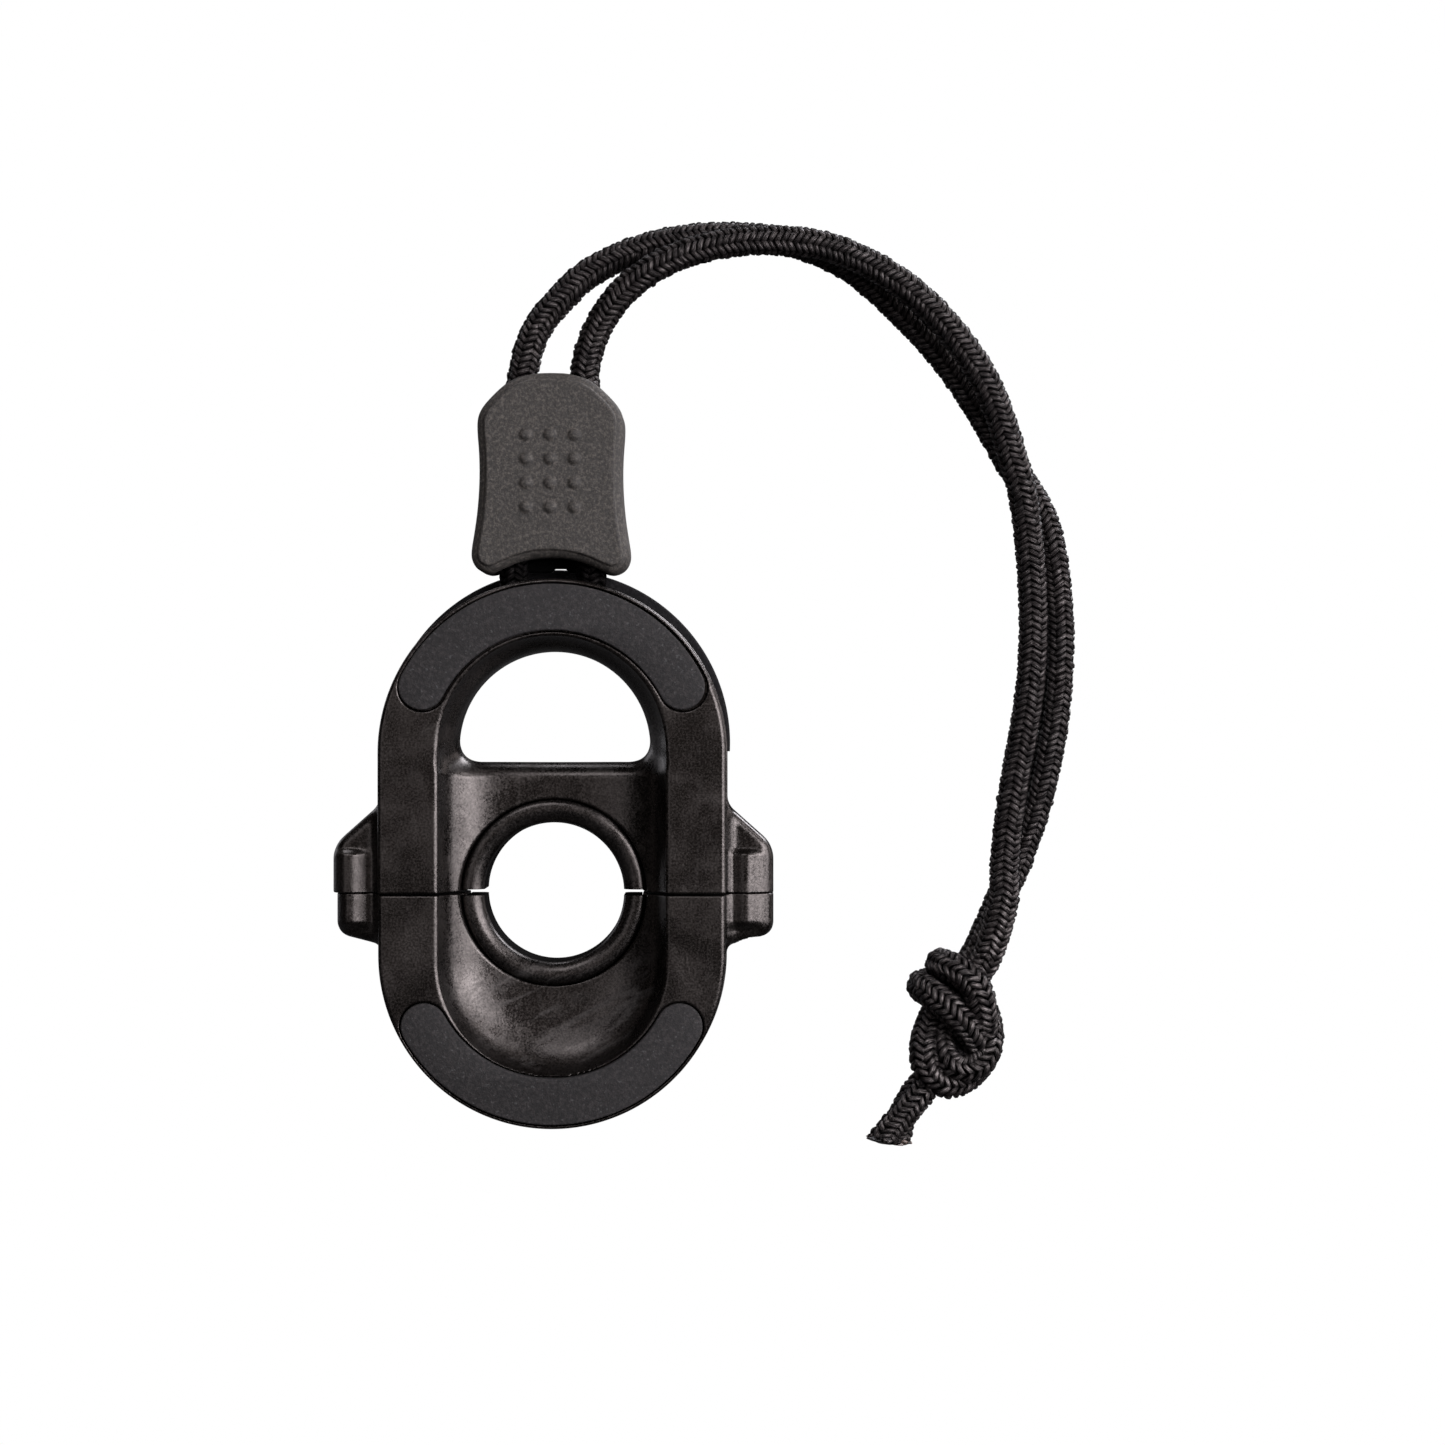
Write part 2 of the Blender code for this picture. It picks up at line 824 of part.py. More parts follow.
run_a = evenly(smooth_path(STRAND_A), 0.1)
run_b = evenly(smooth_path(STRAND_B), 0.1)
near_cords = [
    rope("cord_near_outer", stretch(run_a, until=BEND), CORD_R, spacing=2.4),
    rope("cord_near_inner", stretch(run_b, until=BEND), CORD_R, spacing=2.4),
]
far_cords = [
    rope("cord_far_outer", stretch(run_a, BEND, KNOT_SWING), CORD_R, spacing=2.6),
    rope("cord_far_inner", stretch(run_b, BEND, KNOT_SWING), CORD_R, spacing=2.6),
]


def ball(name, centre, radii, group=PARTS):
    bm = bmesh.new()
    bmesh.ops.create_uvsphere(bm, u_segments=20, v_segments=12, radius=1.0)
    bmesh.ops.transform(
        bm,
        matrix=Matrix.Translation(Vector(centre) * MM)
        @ Matrix.Diagonal((*(Vector(radii) * MM), 1)),
        verts=bm.verts,
    )
    return solid(name, bm, group)


knot = ball("knot", (35.6, 0, -13.6), (4.2, 3.6, 4.7))
change(knot, helper(ball, "knot_top", (33.9, 0, -8.0), (3.0, 3.2, 3.0)), "UNION")
for name, y in (("knot_entry_front", -1.5), ("knot_entry_back", 1.5)):
    entry = [Vector(p) for p in ((38.75, y, -2.35), (37.4, y * 0.95, -5.6), (35.6, 0.6 * y, -9.5))]
    change(knot, helper(rope, name, entry, CORD_R, spacing=1.8), "UNION")
tails = [
    rope(
        "tail_front",
        [Vector(p) for p in ((32.3, -1.48, -18.0), (31.0, -1.48, -19.6), (29.7, -1.48, -21.5))],
        CORD_R,
        round_ends=(True, False),
        spacing=1.6,
    ),
    rope(
        "tail_back",
        [Vector(p) for p in ((32.4, 1.48, -18.1), (31.0, 1.48, -20.0), (29.4, 1.48, -22.3))],
        CORD_R,
        round_ends=(True, False),
        spacing=1.6,
    ),
]

# ---- materials, shading and axes ----
LOOK = {
    PLASTIC: [upper_frame, lower_gate],
    LINER: jaws,
    PAD: pads,
    GRIP: [cord_slider],
    STEEL: [pivot_screw],
    BRASS: [pivot_insert],
    NICKEL: [frame_magnet, gate_magnet],
    CORD: [cord_bight, *near_cords, *far_cords, knot, *tails],
}
for look, owners in LOOK.items():
    for obj in owners:
        obj.data.materials.clear()
        obj.data.materials.append(look)
        obj.data.shade_smooth()
        obj.data.set_sharp_from_angle(angle=math.radians(35))

shift = Vector(ORIGIN) * MM
for obj in (*PARTS.objects, *CUTTERS.objects):
    obj.location -= shift
bpy.context.view_layer.update()
AXES = {
    "gate_swing_axis": ((HINGE_X, 0, 0), None, [lower_gate, pads[1], pads[3], jaws[1], gate_magnet]),
    "slider_travel_axis": ((SLIDER_X, 0, 28.0), None, [cord_slider]),
    "cord_lift_axis": ((0, 0, LIFT_Z), "slider_travel_axis", near_cords),
    "cord_bend_axis": ((BEND[0], 0, BEND[1]), "cord_lift_axis", far_cords),
    "knot_swing_axis": ((KNOT_SWING[0], 0, KNOT_SWING[1]), "cord_bend_axis", [knot, *tails]),
}
for name, (at, parent, owners) in AXES.items():
    empty = bpy.data.objects.new(name, None)
    empty.empty_display_size = 3 * MM
    PARTS.objects.link(empty)
    empty.location = Vector(at) * MM - shift
    bpy.context.view_layer.update()
    if parent:
        empty.parent = bpy.data.objects[parent]
        empty.matrix_parent_inverse = bpy.data.objects[parent].matrix_world.inverted()
        bpy.context.view_layer.update()
    for obj in owners:
        obj.parent = empty
        obj.matrix_parent_inverse = empty.matrix_world.inverted()
bpy.context.view_layer.update()
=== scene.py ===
"""A hinged clip with a round bore, on a looped cord with a slider and a knotted end.

The upper frame and the lower gate part on a level plane through the bore's centre. The bore
runs along y, the front faces -y and +x is to the right. Shapes are worked out in mm from the
bore's centre; row() takes them into the row frame, in metres.
"""
import math

import bmesh
import bpy
import numpy as np
from mathutils import Matrix, Vector


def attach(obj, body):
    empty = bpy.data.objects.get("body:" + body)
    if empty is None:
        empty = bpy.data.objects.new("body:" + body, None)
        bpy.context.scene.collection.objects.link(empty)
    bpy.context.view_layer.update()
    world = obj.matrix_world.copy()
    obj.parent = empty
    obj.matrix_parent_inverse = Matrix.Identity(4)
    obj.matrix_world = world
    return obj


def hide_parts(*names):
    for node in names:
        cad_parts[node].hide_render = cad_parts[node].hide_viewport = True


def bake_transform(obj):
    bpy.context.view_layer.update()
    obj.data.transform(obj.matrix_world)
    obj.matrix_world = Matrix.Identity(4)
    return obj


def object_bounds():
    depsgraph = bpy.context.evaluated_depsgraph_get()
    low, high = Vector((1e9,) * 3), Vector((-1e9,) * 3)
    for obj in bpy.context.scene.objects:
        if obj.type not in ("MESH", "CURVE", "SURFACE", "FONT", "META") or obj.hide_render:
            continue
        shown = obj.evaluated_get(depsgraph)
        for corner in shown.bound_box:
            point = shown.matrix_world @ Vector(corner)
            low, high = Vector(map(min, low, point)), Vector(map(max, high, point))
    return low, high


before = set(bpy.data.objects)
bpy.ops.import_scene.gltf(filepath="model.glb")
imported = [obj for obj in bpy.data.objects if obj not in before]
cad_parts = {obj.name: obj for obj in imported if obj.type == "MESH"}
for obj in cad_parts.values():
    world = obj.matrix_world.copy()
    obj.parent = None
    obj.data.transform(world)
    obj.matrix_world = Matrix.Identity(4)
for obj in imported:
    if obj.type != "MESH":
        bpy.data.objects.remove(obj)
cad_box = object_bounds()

MM = 0.001
ORIGIN = np.array([0.0, 5.0, 25.5])  # from the bore's centre to the row frame's origin, mm
scene = bpy.context.scene


def row(point):
    """A point in mm from the bore's centre, in the row frame in metres."""
    return tuple((np.asarray(point, float) - ORIGIN) * MM)


# ---------------------------------------------------------------- dimensions (mm)
# _R is a radius, _Y and _Z are places; TOP_Z and BOT_Z are the stadium's arc centres
BORE_R = 6.1
RIM_R, TOP_Z, BOT_Z = 15.05, 12.25, -5.25
FRONT_Y, BACK_Y = -5.0, 4.4
PART_GAP = 0.1
BOWL_R, BOWL_TOP_Z, BOWL_BOT_Z, BOWL_Y = 9.85, 12.55, -5.85, -1.0
WINDOW_R, WINDOW_Z, WINDOW_SILL = 8.42, 12.66, 11.4
SEAT_R, SEAT_DEEP_R, SEAT_STEP_Y = 8.15, 7.72, 0.1
PAD_IN, PAD_OUT, PAD_GAP = 10.6, 14.6, 0.12
PAD_FLOOR_Y = FRONT_Y + 1.05
PAD_TOP_SWEEP, PAD_BOT_SWEEP = (27.0, 153.0), (-151.0, -29.0)  # degrees
FRONT_PAD_Y = (FRONT_Y - 0.1, FRONT_Y + 0.95)
REAR_PAD_Y = (3.6, 5.0)
REAR_FLOOR_Y = REAR_PAD_Y[0] - 0.1
REAR_LIP_R, REAR_LIP_Z = 15.42, 13.05
REAR_LIP_FOOT = TOP_Z + 0.05
BOSS_X, BOSS_R = 17.0, 2.2
SCREW_R = 1.0
MAGNET_X, WELL_R, WELL_DEPTH = -BOSS_X - 0.1, 1.48, 1.9
CORD_R = 1.38
LEG_X, TOP_X = (-3.6, 3.2), (-2.8, 2.6)  # left and right strand, below and above the slider
LEG_END_Z, BIGHT_Z, LIFT_Z = 43.6, 24.75, 45.4
BEND, KNOT_SWING = (40.2, 37.7), (39.3, -0.7)  # x, z where the cord bends and the knot starts
SLIDER_X, SLIDER_HALF_Y = -0.25, 3.2


# ---------------------------------------------------------------- node materials
class Nodes:
    """Short-hand for building the node tree of a material or a world."""

    def __init__(self, owner):
        owner.use_nodes = True
        self.tree = owner.node_tree
        self.tree.nodes.clear()

    def add(self, kind, inputs=None, **settings):
        node = self.tree.nodes.new("ShaderNode" + kind)
        for key, value in settings.items():
            setattr(node, key, value)
        for key, value in (inputs or {}).items():
            self.put(node.inputs[key], value)
        return node

    def put(self, socket, value):
        """Link a socket, or set its value; a colour gets its alpha here."""
        if isinstance(value, bpy.types.NodeSocket):
            self.tree.links.new(value, socket)
        elif socket.type == "RGBA" and len(value) == 3:
            socket.default_value = (*value, 1)
        else:
            socket.default_value = value

    def position(self):
        return self.add("TexCoord").outputs["Object"]

    def axes(self, vector):
        return self.add("SeparateXYZ", {0: vector}).outputs

    def mapped(self, vector, scale=(1, 1, 1), location=(0, 0, 0), rotation=(0, 0, 0)):
        inputs = {"Vector": vector, "Scale": scale, "Location": location, "Rotation": rotation}
        return self.add("Mapping", inputs).outputs["Vector"]

    def noise(self, vector, scale, detail=2.0, roughness=0.5, distortion=0.0):
        inputs = {"Vector": vector, "Scale": scale, "Detail": detail}
        inputs.update({"Roughness": roughness, "Distortion": distortion})
        return self.add("TexNoise", inputs).outputs["Fac"]

    def ramp(self, value, over, to=(0.0, 1.0)):
        """A smooth step between two levels while the value crosses a span."""
        inputs = {"Value": value, "From Min": over[0], "From Max": over[1]}
        inputs.update({"To Min": to[0], "To Max": to[1]})
        return self.add("MapRange", inputs, interpolation_type="SMOOTHSTEP").outputs["Result"]

    def maths(self, operation, first, second=0.0):
        return self.add("Math", {0: first, 1: second}, operation=operation).outputs[0]

    def times(self, first, second):
        return self.maths("MULTIPLY", first, second)

    def plus(self, first, second):
        return self.maths("ADD", first, second)

    def inverse(self, value):
        return self.maths("SUBTRACT", 1.0, value)

    def mix(self, factor, low, high):
        inputs = {"Factor": factor, 6: low, 7: high}
        return self.add("Mix", inputs, data_type="RGBA").outputs[2]

    def bump(self, height, strength, distance, normal=None):
        inputs = {"Height": height, "Strength": strength, "Distance": distance}
        if normal is not None:
            inputs["Normal"] = normal
        return self.add("Bump", inputs).outputs["Normal"]


class Look(Nodes):
    """A material with one Principled shader."""

    def __init__(self, name):
        self.material = bpy.data.materials.new(name)
        super().__init__(self.material)
        self.out = self.add("OutputMaterial")
        self.bsdf = self.add("BsdfPrincipled")
        self.put(self.out.inputs["Surface"], self.bsdf.outputs["BSDF"])

    def finish(self, **inputs):
        for name, value in inputs.items():
            self.put(self.bsdf.inputs[name.replace("_", " ")], value)
        return self.material


def tinted(shade, factor):
    return tuple(c * factor for c in shade)


def moulded_plastic(name, shade, gloss, grain, clouds, dull_shade_behind=None):
    """Black moulded nylon: fine spark grain, flow clouds, wipe marks; rougher behind a given y,
    with painted shade there: near black and almost without sheen.
    """
    mat = Look(name)
    place = mat.position()
    fine = mat.noise(place, scale=5600, detail=2, roughness=0.6)
    mid = mat.noise(place, scale=1500, detail=3, roughness=0.65)
    cloud = mat.noise(place, scale=210, detail=5, roughness=0.62, distortion=0.7)
    moved = mat.mapped(place, location=(3.1, 0, 1.7))
    patch = mat.noise(moved, scale=90, detail=3, roughness=0.55, distortion=0.3)
    drawn = mat.mapped(place, scale=(1, 1, 0.4))
    smear = mat.noise(drawn, scale=520, detail=4, roughness=0.6, distortion=2.2)
    dark = tinted(shade, 0.6)
    colour = mat.mix(mat.ramp(cloud, over=(0.34, 0.68)), dark, tinted(shade, 1.65))
    colour = mat.mix(mat.ramp(patch, over=(0.35, 0.65), to=(0.0, 0.35)), colour, dark)
    speck = mat.ramp(fine, over=(0.35, 0.72), to=(0.0, 0.45))
    colour = mat.mix(speck, colour, tinted(shade, 2.4))
    # slanting streaks, only low down in the bowl
    _, y, z = mat.axes(place)
    low_down = mat.ramp(z, over=(-0.0300, -0.0335))
    bowl = mat.times(low_down, mat.ramp(y, over=(-0.0092, -0.0080)))
    tilted = mat.mapped(place, rotation=(0, math.radians(28), 0))
    drawn = mat.mapped(tilted, scale=(0.13, 1, 1.3))
    streak = mat.noise(drawn, scale=620, detail=6, roughness=0.62, distortion=0.5)
    streak = mat.times(mat.ramp(streak, over=(0.5, 0.66)), bowl)
    span = (gloss - 0.04, gloss + 0.04 + clouds * 0.8)
    rough = mat.ramp(cloud, over=(0.32, 0.68), to=span)
    rough = mat.plus(rough, mat.ramp(smear, over=(0.48, 0.7), to=(0.0, 0.04 + clouds)))
    rough = mat.plus(rough, mat.ramp(fine, over=(0.3, 0.7), to=(-0.05, 0.06)))
    rough = mat.plus(rough, mat.times(streak, 0.16))
    colour = mat.mix(mat.times(streak, 0.4), colour, (0.032, 0.030, 0.029))
    level = mat.ramp(cloud, over=(0.34, 0.68), to=(0.37, 0.56))
    level = mat.plus(level, mat.ramp(fine, over=(0.3, 0.75), to=(-0.18, 0.28)))
    if dull_shade_behind is not None:
        # painted shade: behind that y the sheen nearly goes and the colour goes near black; the
        # surface is also rougher there
        dull_shade = mat.ramp(y, over=(dull_shade_behind, dull_shade_behind + 0.0004))
        level = mat.times(level, mat.inverse(mat.times(dull_shade, 0.95)))
        rough = mat.plus(rough, mat.times(dull_shade, 0.4))
        colour = mat.mix(dull_shade, colour, (0.0012, 0.0011, 0.0011))
    normal = mat.bump(fine, strength=grain, distance=0.00006)
    normal = mat.bump(mid, strength=grain * 0.4, distance=0.0001, normal=normal)
    normal = mat.bump(smear, strength=clouds * 1.5, distance=0.0002, normal=normal)
    return mat.finish(
        Base_Color=colour,
        Roughness=rough,
        Normal=normal,
        Specular_IOR_Level=level,
        Specular_Tint=(1.0, 0.89, 0.83),
    )


def rubber(name, shade, speckle, rough=0.78, level=0.34, recess=False, lit_back_colour=None):
    """Matte rubber with a fine tooth and pale dust; what faces +y can take a lighter colour of
    its own, painted light.

    With recess, the middle of the slider's front below its top edge is black: painted shade.
    """
    mat = Look(name)
    place = mat.position()
    fine = mat.noise(place, scale=6500, detail=2, roughness=0.65)
    pits = mat.noise(place, scale=2600, detail=2)
    broad = mat.noise(place, scale=140, detail=3, roughness=0.6, distortion=0.4)
    dust = mat.noise(place, scale=4200, detail=1, roughness=0.4)
    dust = mat.ramp(dust, over=(0.66, 0.78))
    cloud = mat.ramp(broad, over=(0.3, 0.7))
    colour = mat.mix(cloud, tinted(shade, 0.88), tinted(shade, 1.15))
    hollow = mat.ramp(fine, over=(0.36, 0.66), to=(0.0, 0.75))
    colour = mat.mix(hollow, tinted(shade, 0.62), colour)
    peak = mat.ramp(fine, over=(0.52, 0.74), to=(0.0, 0.8))
    colour = mat.mix(peak, colour, tinted(shade, 2.1))
    if lit_back_colour:
        # painted light: the side facing +y gets the lighter colour given and more sheen
        _, turned, _ = mat.axes(mat.add("TexCoord").outputs["Normal"])
        flat = mat.ramp(turned, over=(0.6, 0.9))
        grain = mat.ramp(fine, over=(0.36, 0.66))
        colour = mat.mix(flat, colour, mat.mix(grain, tinted(lit_back_colour, 0.6), tinted(lit_back_colour, 1.5)))
        level = mat.ramp(flat, over=(0.0, 1.0), to=(level, 0.36))
    tooth = mat.noise(place, scale=3300, detail=3, roughness=0.7, distortion=0.2)
    hollow = mat.ramp(tooth, over=(0.36, 0.52), to=(0.6, 0.0))
    colour = mat.mix(hollow, colour, tinted(shade, 0.3))
    peak = mat.ramp(tooth, over=(0.50, 0.66), to=(0.0, 0.55))
    colour = mat.mix(peak, colour, tinted(shade, 2.2))
    colour = mat.mix(mat.times(dust, speckle), colour, (0.2, 0.2, 0.2))
    if recess:
        # painted shade: the skirt's face under the slider's arch goes black and loses its sheen
        x, y, z = mat.axes(place)
        off = mat.maths("ABSOLUTE", mat.maths("SUBTRACT", x, SLIDER_X * MM))
        across = mat.ramp(off, over=(0.0052, 0.0047))
        inside = mat.times(across, mat.ramp(z, over=(0.0056, 0.0048)))
        inside = mat.times(inside, mat.ramp(y, over=(-0.0066, -0.0052)))
        inside = mat.times(inside, mat.ramp(y, over=(-0.0026, -0.0030)))
        colour = mat.mix(inside, colour, (0.0010, 0.0010, 0.0010))
        level = mat.ramp(inside, over=(0.0, 1.0), to=(level, 0.03))
    normal = mat.bump(fine, strength=0.55, distance=0.00007)
    normal = mat.bump(pits, strength=0.4, distance=0.0001, normal=normal)
    return mat.finish(
        Base_Color=colour,
        Roughness=mat.ramp(fine, over=(0.3, 0.7), to=(rough - 0.05, rough + 0.1)),
        Normal=normal,
        Specular_IOR_Level=level,
    )


def metal(name, colour, rough, lathe=True):
    """Scuffed metal; lathe squeezes the ripple along z."""
    mat = Look(name)
    place = mat.position()
    wave = mat.noise(mat.mapped(place, scale=(1, 1, 14)) if lathe else place, scale=900)
    scuff = mat.noise(place, scale=700, detail=4, roughness=0.7, distortion=1.0)
    return mat.finish(
        Base_Color=mat.mix(mat.ramp(scuff, over=(0.4, 0.75)), colour, tinted(colour, 0.72)),
        Metallic=1.0,
        Roughness=mat.ramp(wave, over=(0.3, 0.7), to=(rough - 0.06, rough + 0.12)),
        Normal=mat.bump(wave, strength=0.2, distance=0.00005),
    )


# place along a yarn, place across it, its own random tone, and how high it rides in the braid
YARN_KEYS = ("yarn_u", "yarn_v", "yarn_tone", "yarn_lift")


def yarn(name):
    """Black filament yarn: fibres run along it, with painted shade where it dives under others.
    """
    mat = Look(name)
    along, across, tone, lift = (
        mat.add("Attribute", attribute_name=key).outputs["Fac"] for key in YARN_KEYS
    )
    stretched = {0: mat.times(along, 1.6), 1: mat.times(across, 5.0), 2: mat.times(tone, 37.0)}
    vector = mat.add("CombineXYZ", stretched).outputs[0]
    fibre = mat.noise(vector, scale=1.0, detail=4, roughness=0.7)
    place = mat.position()
    worn = mat.noise(place, scale=420, detail=3, roughness=0.6)
    lint = mat.noise(place, scale=4200, detail=2, roughness=0.6)
    lint = mat.ramp(lint, over=(0.68, 0.8))
    thread = mat.ramp(fibre, over=(0.3, 0.72))
    colour = mat.mix(thread, (0.0005, 0.0004, 0.0004), (0.0200, 0.0166, 0.0162))
    worn = mat.ramp(worn, over=(0.35, 0.7), to=(0.0, 0.6))
    colour = mat.mix(worn, colour, (0.004, 0.0038, 0.004))
    colour = mat.mix(mat.times(lint, 0.07), colour, (0.2, 0.19, 0.18))
    # painted shade: the yarn goes black and loses its sheen where it dives under the others
    raised = mat.ramp(lift, over=(-0.1, 0.85))
    colour = mat.mix(raised, (0.0005, 0.0005, 0.0005), colour)
    level = mat.ramp(fibre, over=(0.38, 0.72), to=(0.04, 1.25))
    level = mat.times(level, mat.ramp(lift, over=(-0.1, 0.95), to=(0.01, 1.0)))
    blotch = mat.noise(place, scale=1050, detail=2, roughness=0.55)
    level = mat.times(level, mat.ramp(blotch, over=(0.36, 0.62), to=(0.35, 1.15)))
    # painted sheen: the low end shines more; painted shadow: the legs below the slider's top
    # are dark
    x, _, z = mat.axes(place)
    level = mat.times(level, mat.ramp(z, over=(-0.018, -0.029), to=(0.84, 1.5)))
    under = mat.ramp(z, over=(0.0056, 0.0046))
    under = mat.times(under, mat.ramp(x, over=(0.014, 0.012)))
    level = mat.times(level, mat.inverse(mat.times(under, 0.8)))
    colour = mat.mix(mat.times(under, 0.8), colour, (0.0008, 0.0008, 0.0008))
    # painted shade: colour and sheen fade to black where the yarn is seen edge-on
    facing = mat.add("LayerWeight", {"Blend": 0.5}).outputs["Facing"]
    away = mat.ramp(facing, over=(0.45, 0.85), to=(1.0, 0.03))
    level = mat.times(level, away)
    colour = mat.mix(away, (0.0012, 0.0011, 0.0012), colour)
    return mat.finish(
        Base_Color=colour,
        Roughness=mat.ramp(fibre, over=(0.3, 0.75), to=(0.3, 0.48)),
        Normal=mat.bump(fibre, strength=0.8, distance=0.00007),
        Specular_IOR_Level=level,
        Specular_Tint=(1.0, 0.89, 0.85),
    )


def cord_core(name):
    mat = Look(name)
    grain = mat.noise(mat.position(), scale=1500, detail=3)
    return mat.finish(
        Base_Color=mat.mix(grain, (0.003, 0.003, 0.003), (0.008, 0.008, 0.008)),
        Roughness=0.85,
        Normal=mat.bump(grain, strength=0.3, distance=0.0001),
    )


def melted(name, bare):
    """Sealed nylon: black, browned in patches where the blots pass the bare level."""
    mat = Look(name)
    blot = mat.noise(mat.position(), scale=900, detail=4, roughness=0.6, distortion=0.8)
    brown = mat.ramp(blot, over=(bare, bare + 0.2))
    return mat.finish(
        Base_Color=mat.mix(brown, (0.009, 0.008, 0.008), (0.15, 0.105, 0.085)),
        Roughness=mat.ramp(blot, over=(0.3, 0.7), to=(0.2, 0.5)),
        Normal=mat.bump(blot, strength=0.5, distance=0.0002),
        Specular_IOR_Level=0.6,
    )


PLASTIC = moulded_plastic(
    "moulded_nylon_look", shade=(0.0006, 0.0004, 0.0003), gloss=0.27, grain=0.09, clouds=0.05
)
LINER = moulded_plastic(
    "liner_nylon_look", shade=(0.0006, 0.0005, 0.0005), gloss=0.29, grain=0.1, clouds=0.03,
    dull_shade_behind=-0.0060,
)
PAD = rubber("pad_rubber_look", shade=(0.0122, 0.0104, 0.0101), speckle=0.12)
# painted light and shade: the rear pads' rubber is dark on its edges and lighter on the side
# facing +y
REAR = rubber(
    "rear_rubber_look", shade=(0.0046, 0.0040, 0.0043), speckle=0.04, level=0.12,
    lit_back_colour=(0.0150, 0.0130, 0.0126),
)
GRIP = rubber(
    "slider_rubber_look", shade=(0.0312, 0.0270, 0.0230), speckle=0.05, rough=0.7, recess=True
)
STEEL = metal("screw_steel_look", colour=(0.5, 0.5, 0.52), rough=0.28)
BRASS = metal("insert_brass_look", colour=(0.66, 0.46, 0.18), rough=0.3)
NICKEL = metal("magnet_nickel_look", colour=(0.66, 0.64, 0.6), rough=0.2, lathe=False)
CORE = cord_core("cord_core_look")
YARN = yarn("cord_nylon_look")


# ---------------------------------------------------------------- distance fields (mm)
# Each sd_ function is below 0 inside its shape; the last number of a smooth_min or
# smooth_max is the width over which the two shapes blend.
def length(*parts):
    return np.sqrt(sum(part * part for part in parts))


def smooth_min(first, second, blend):
    share = np.clip(0.5 + 0.5 * (second - first) / blend, 0, 1)
    return second * (1 - share) + first * share - blend * share * (1 - share)


def smooth_max(first, second, blend):
    return -smooth_min(-first, -second, blend)


def rounded(across, deep, edge):
    """Two wall distances joined by a rounded corner."""
    across, deep = across + edge, deep + edge
    inside = np.minimum(np.maximum(across, deep), 0)
    return inside + length(np.maximum(across, 0), np.maximum(deep, 0)) - edge


def slab(flat, y, low, high, edge):
    """Rounded extrusion along y of a plane distance."""
    half, middle = (high - low) / 2, (high + low) / 2
    return rounded(flat, np.abs(y - middle) - half, edge)


def sd_stadium(x, z, radius, top, bottom):
    return length(x, z - np.clip(z, bottom, top)) - radius


def sd_band(x, z, centre, inner, outer, start, end):
    """A strip along an arc, with round ends; angles in degrees."""
    mid, half = (inner + outer) / 2, (outer - inner) / 2
    turn = math.radians((start + end) / 2)
    spread = math.radians((end - start) / 2)
    rise = z - centre
    along = x * math.cos(turn) + rise * math.sin(turn)
    aside = np.abs(-x * math.sin(turn) + rise * math.cos(turn))
    end_along, end_aside = mid * math.cos(spread), mid * math.sin(spread)
    inside = aside * math.cos(spread) < along * math.sin(spread)
    to_arc = np.abs(length(along, aside) - mid)
    return np.where(inside, to_arc, length(along - end_along, aside - end_aside)) - half


def sd_window(x, z, radius, sill):
    """An arch over a straight sill, its lower corners rounded."""
    arch = np.where(z > WINDOW_Z, length(x, z - WINDOW_Z), np.abs(x)) - radius
    return smooth_max(arch, sill - z, 2.08)


# the dish table's first x and z, its pitch, and its number of columns and rows
TABLE_LOW, TABLE_STEP, TABLE_SIZE = (-21.0, -22.0), 0.04, (1051, 1301)
LIP_DEPTH, LIP_RUN, BOWL_RUN = 0.99, 0.45, 2.4  # the steep lip, and how slowly each part falls


def dish_table():
    """The depth y of the front recess over x and z: a steep lip, then one continuous bowl."""
    axes = [low + TABLE_STEP * np.arange(size) for low, size in zip(TABLE_LOW, TABLE_SIZE)]
    x, z = np.meshgrid(*axes, indexing="ij")
    inward = -sd_stadium(x, z, BOWL_R, BOWL_TOP_Z, BOWL_BOT_Z)
    start = FRONT_Y + 0.13
    run = np.maximum(inward, 0)
    lip = start + LIP_DEPTH * (1 - np.exp(-run / LIP_RUN))
    bowl = lip + (BOWL_Y - start - LIP_DEPTH) * (1 - np.exp(-run / BOWL_RUN))
    return np.where(inward < 0, start + inward * 1.1, bowl)


DISH = dish_table()
DISH_SCALE = np.sqrt(1 + np.clip(sum(g * g for g in np.gradient(DISH, TABLE_STEP)), 0, 40))


def looked_up(table, x, z):
    """The table's value at x and z, interpolated between its four nearest entries."""
    across = np.clip((x - TABLE_LOW[0]) / TABLE_STEP, 0, table.shape[0] - 2)
    upward = np.clip((z - TABLE_LOW[1]) / TABLE_STEP, 0, table.shape[1] - 2)
    i, j = across.astype(int), upward.astype(int)
    across, upward = across - i, upward - j
    return (
        table[i, j] * (1 - across) * (1 - upward) + table[i + 1, j] * across * (1 - upward)
        + table[i, j + 1] * (1 - across) * upward + table[i + 1, j + 1] * across * upward
    )


def sd_dish(x, y, z):
    return (y - looked_up(DISH, x, z)) / looked_up(DISH_SCALE, x, z)


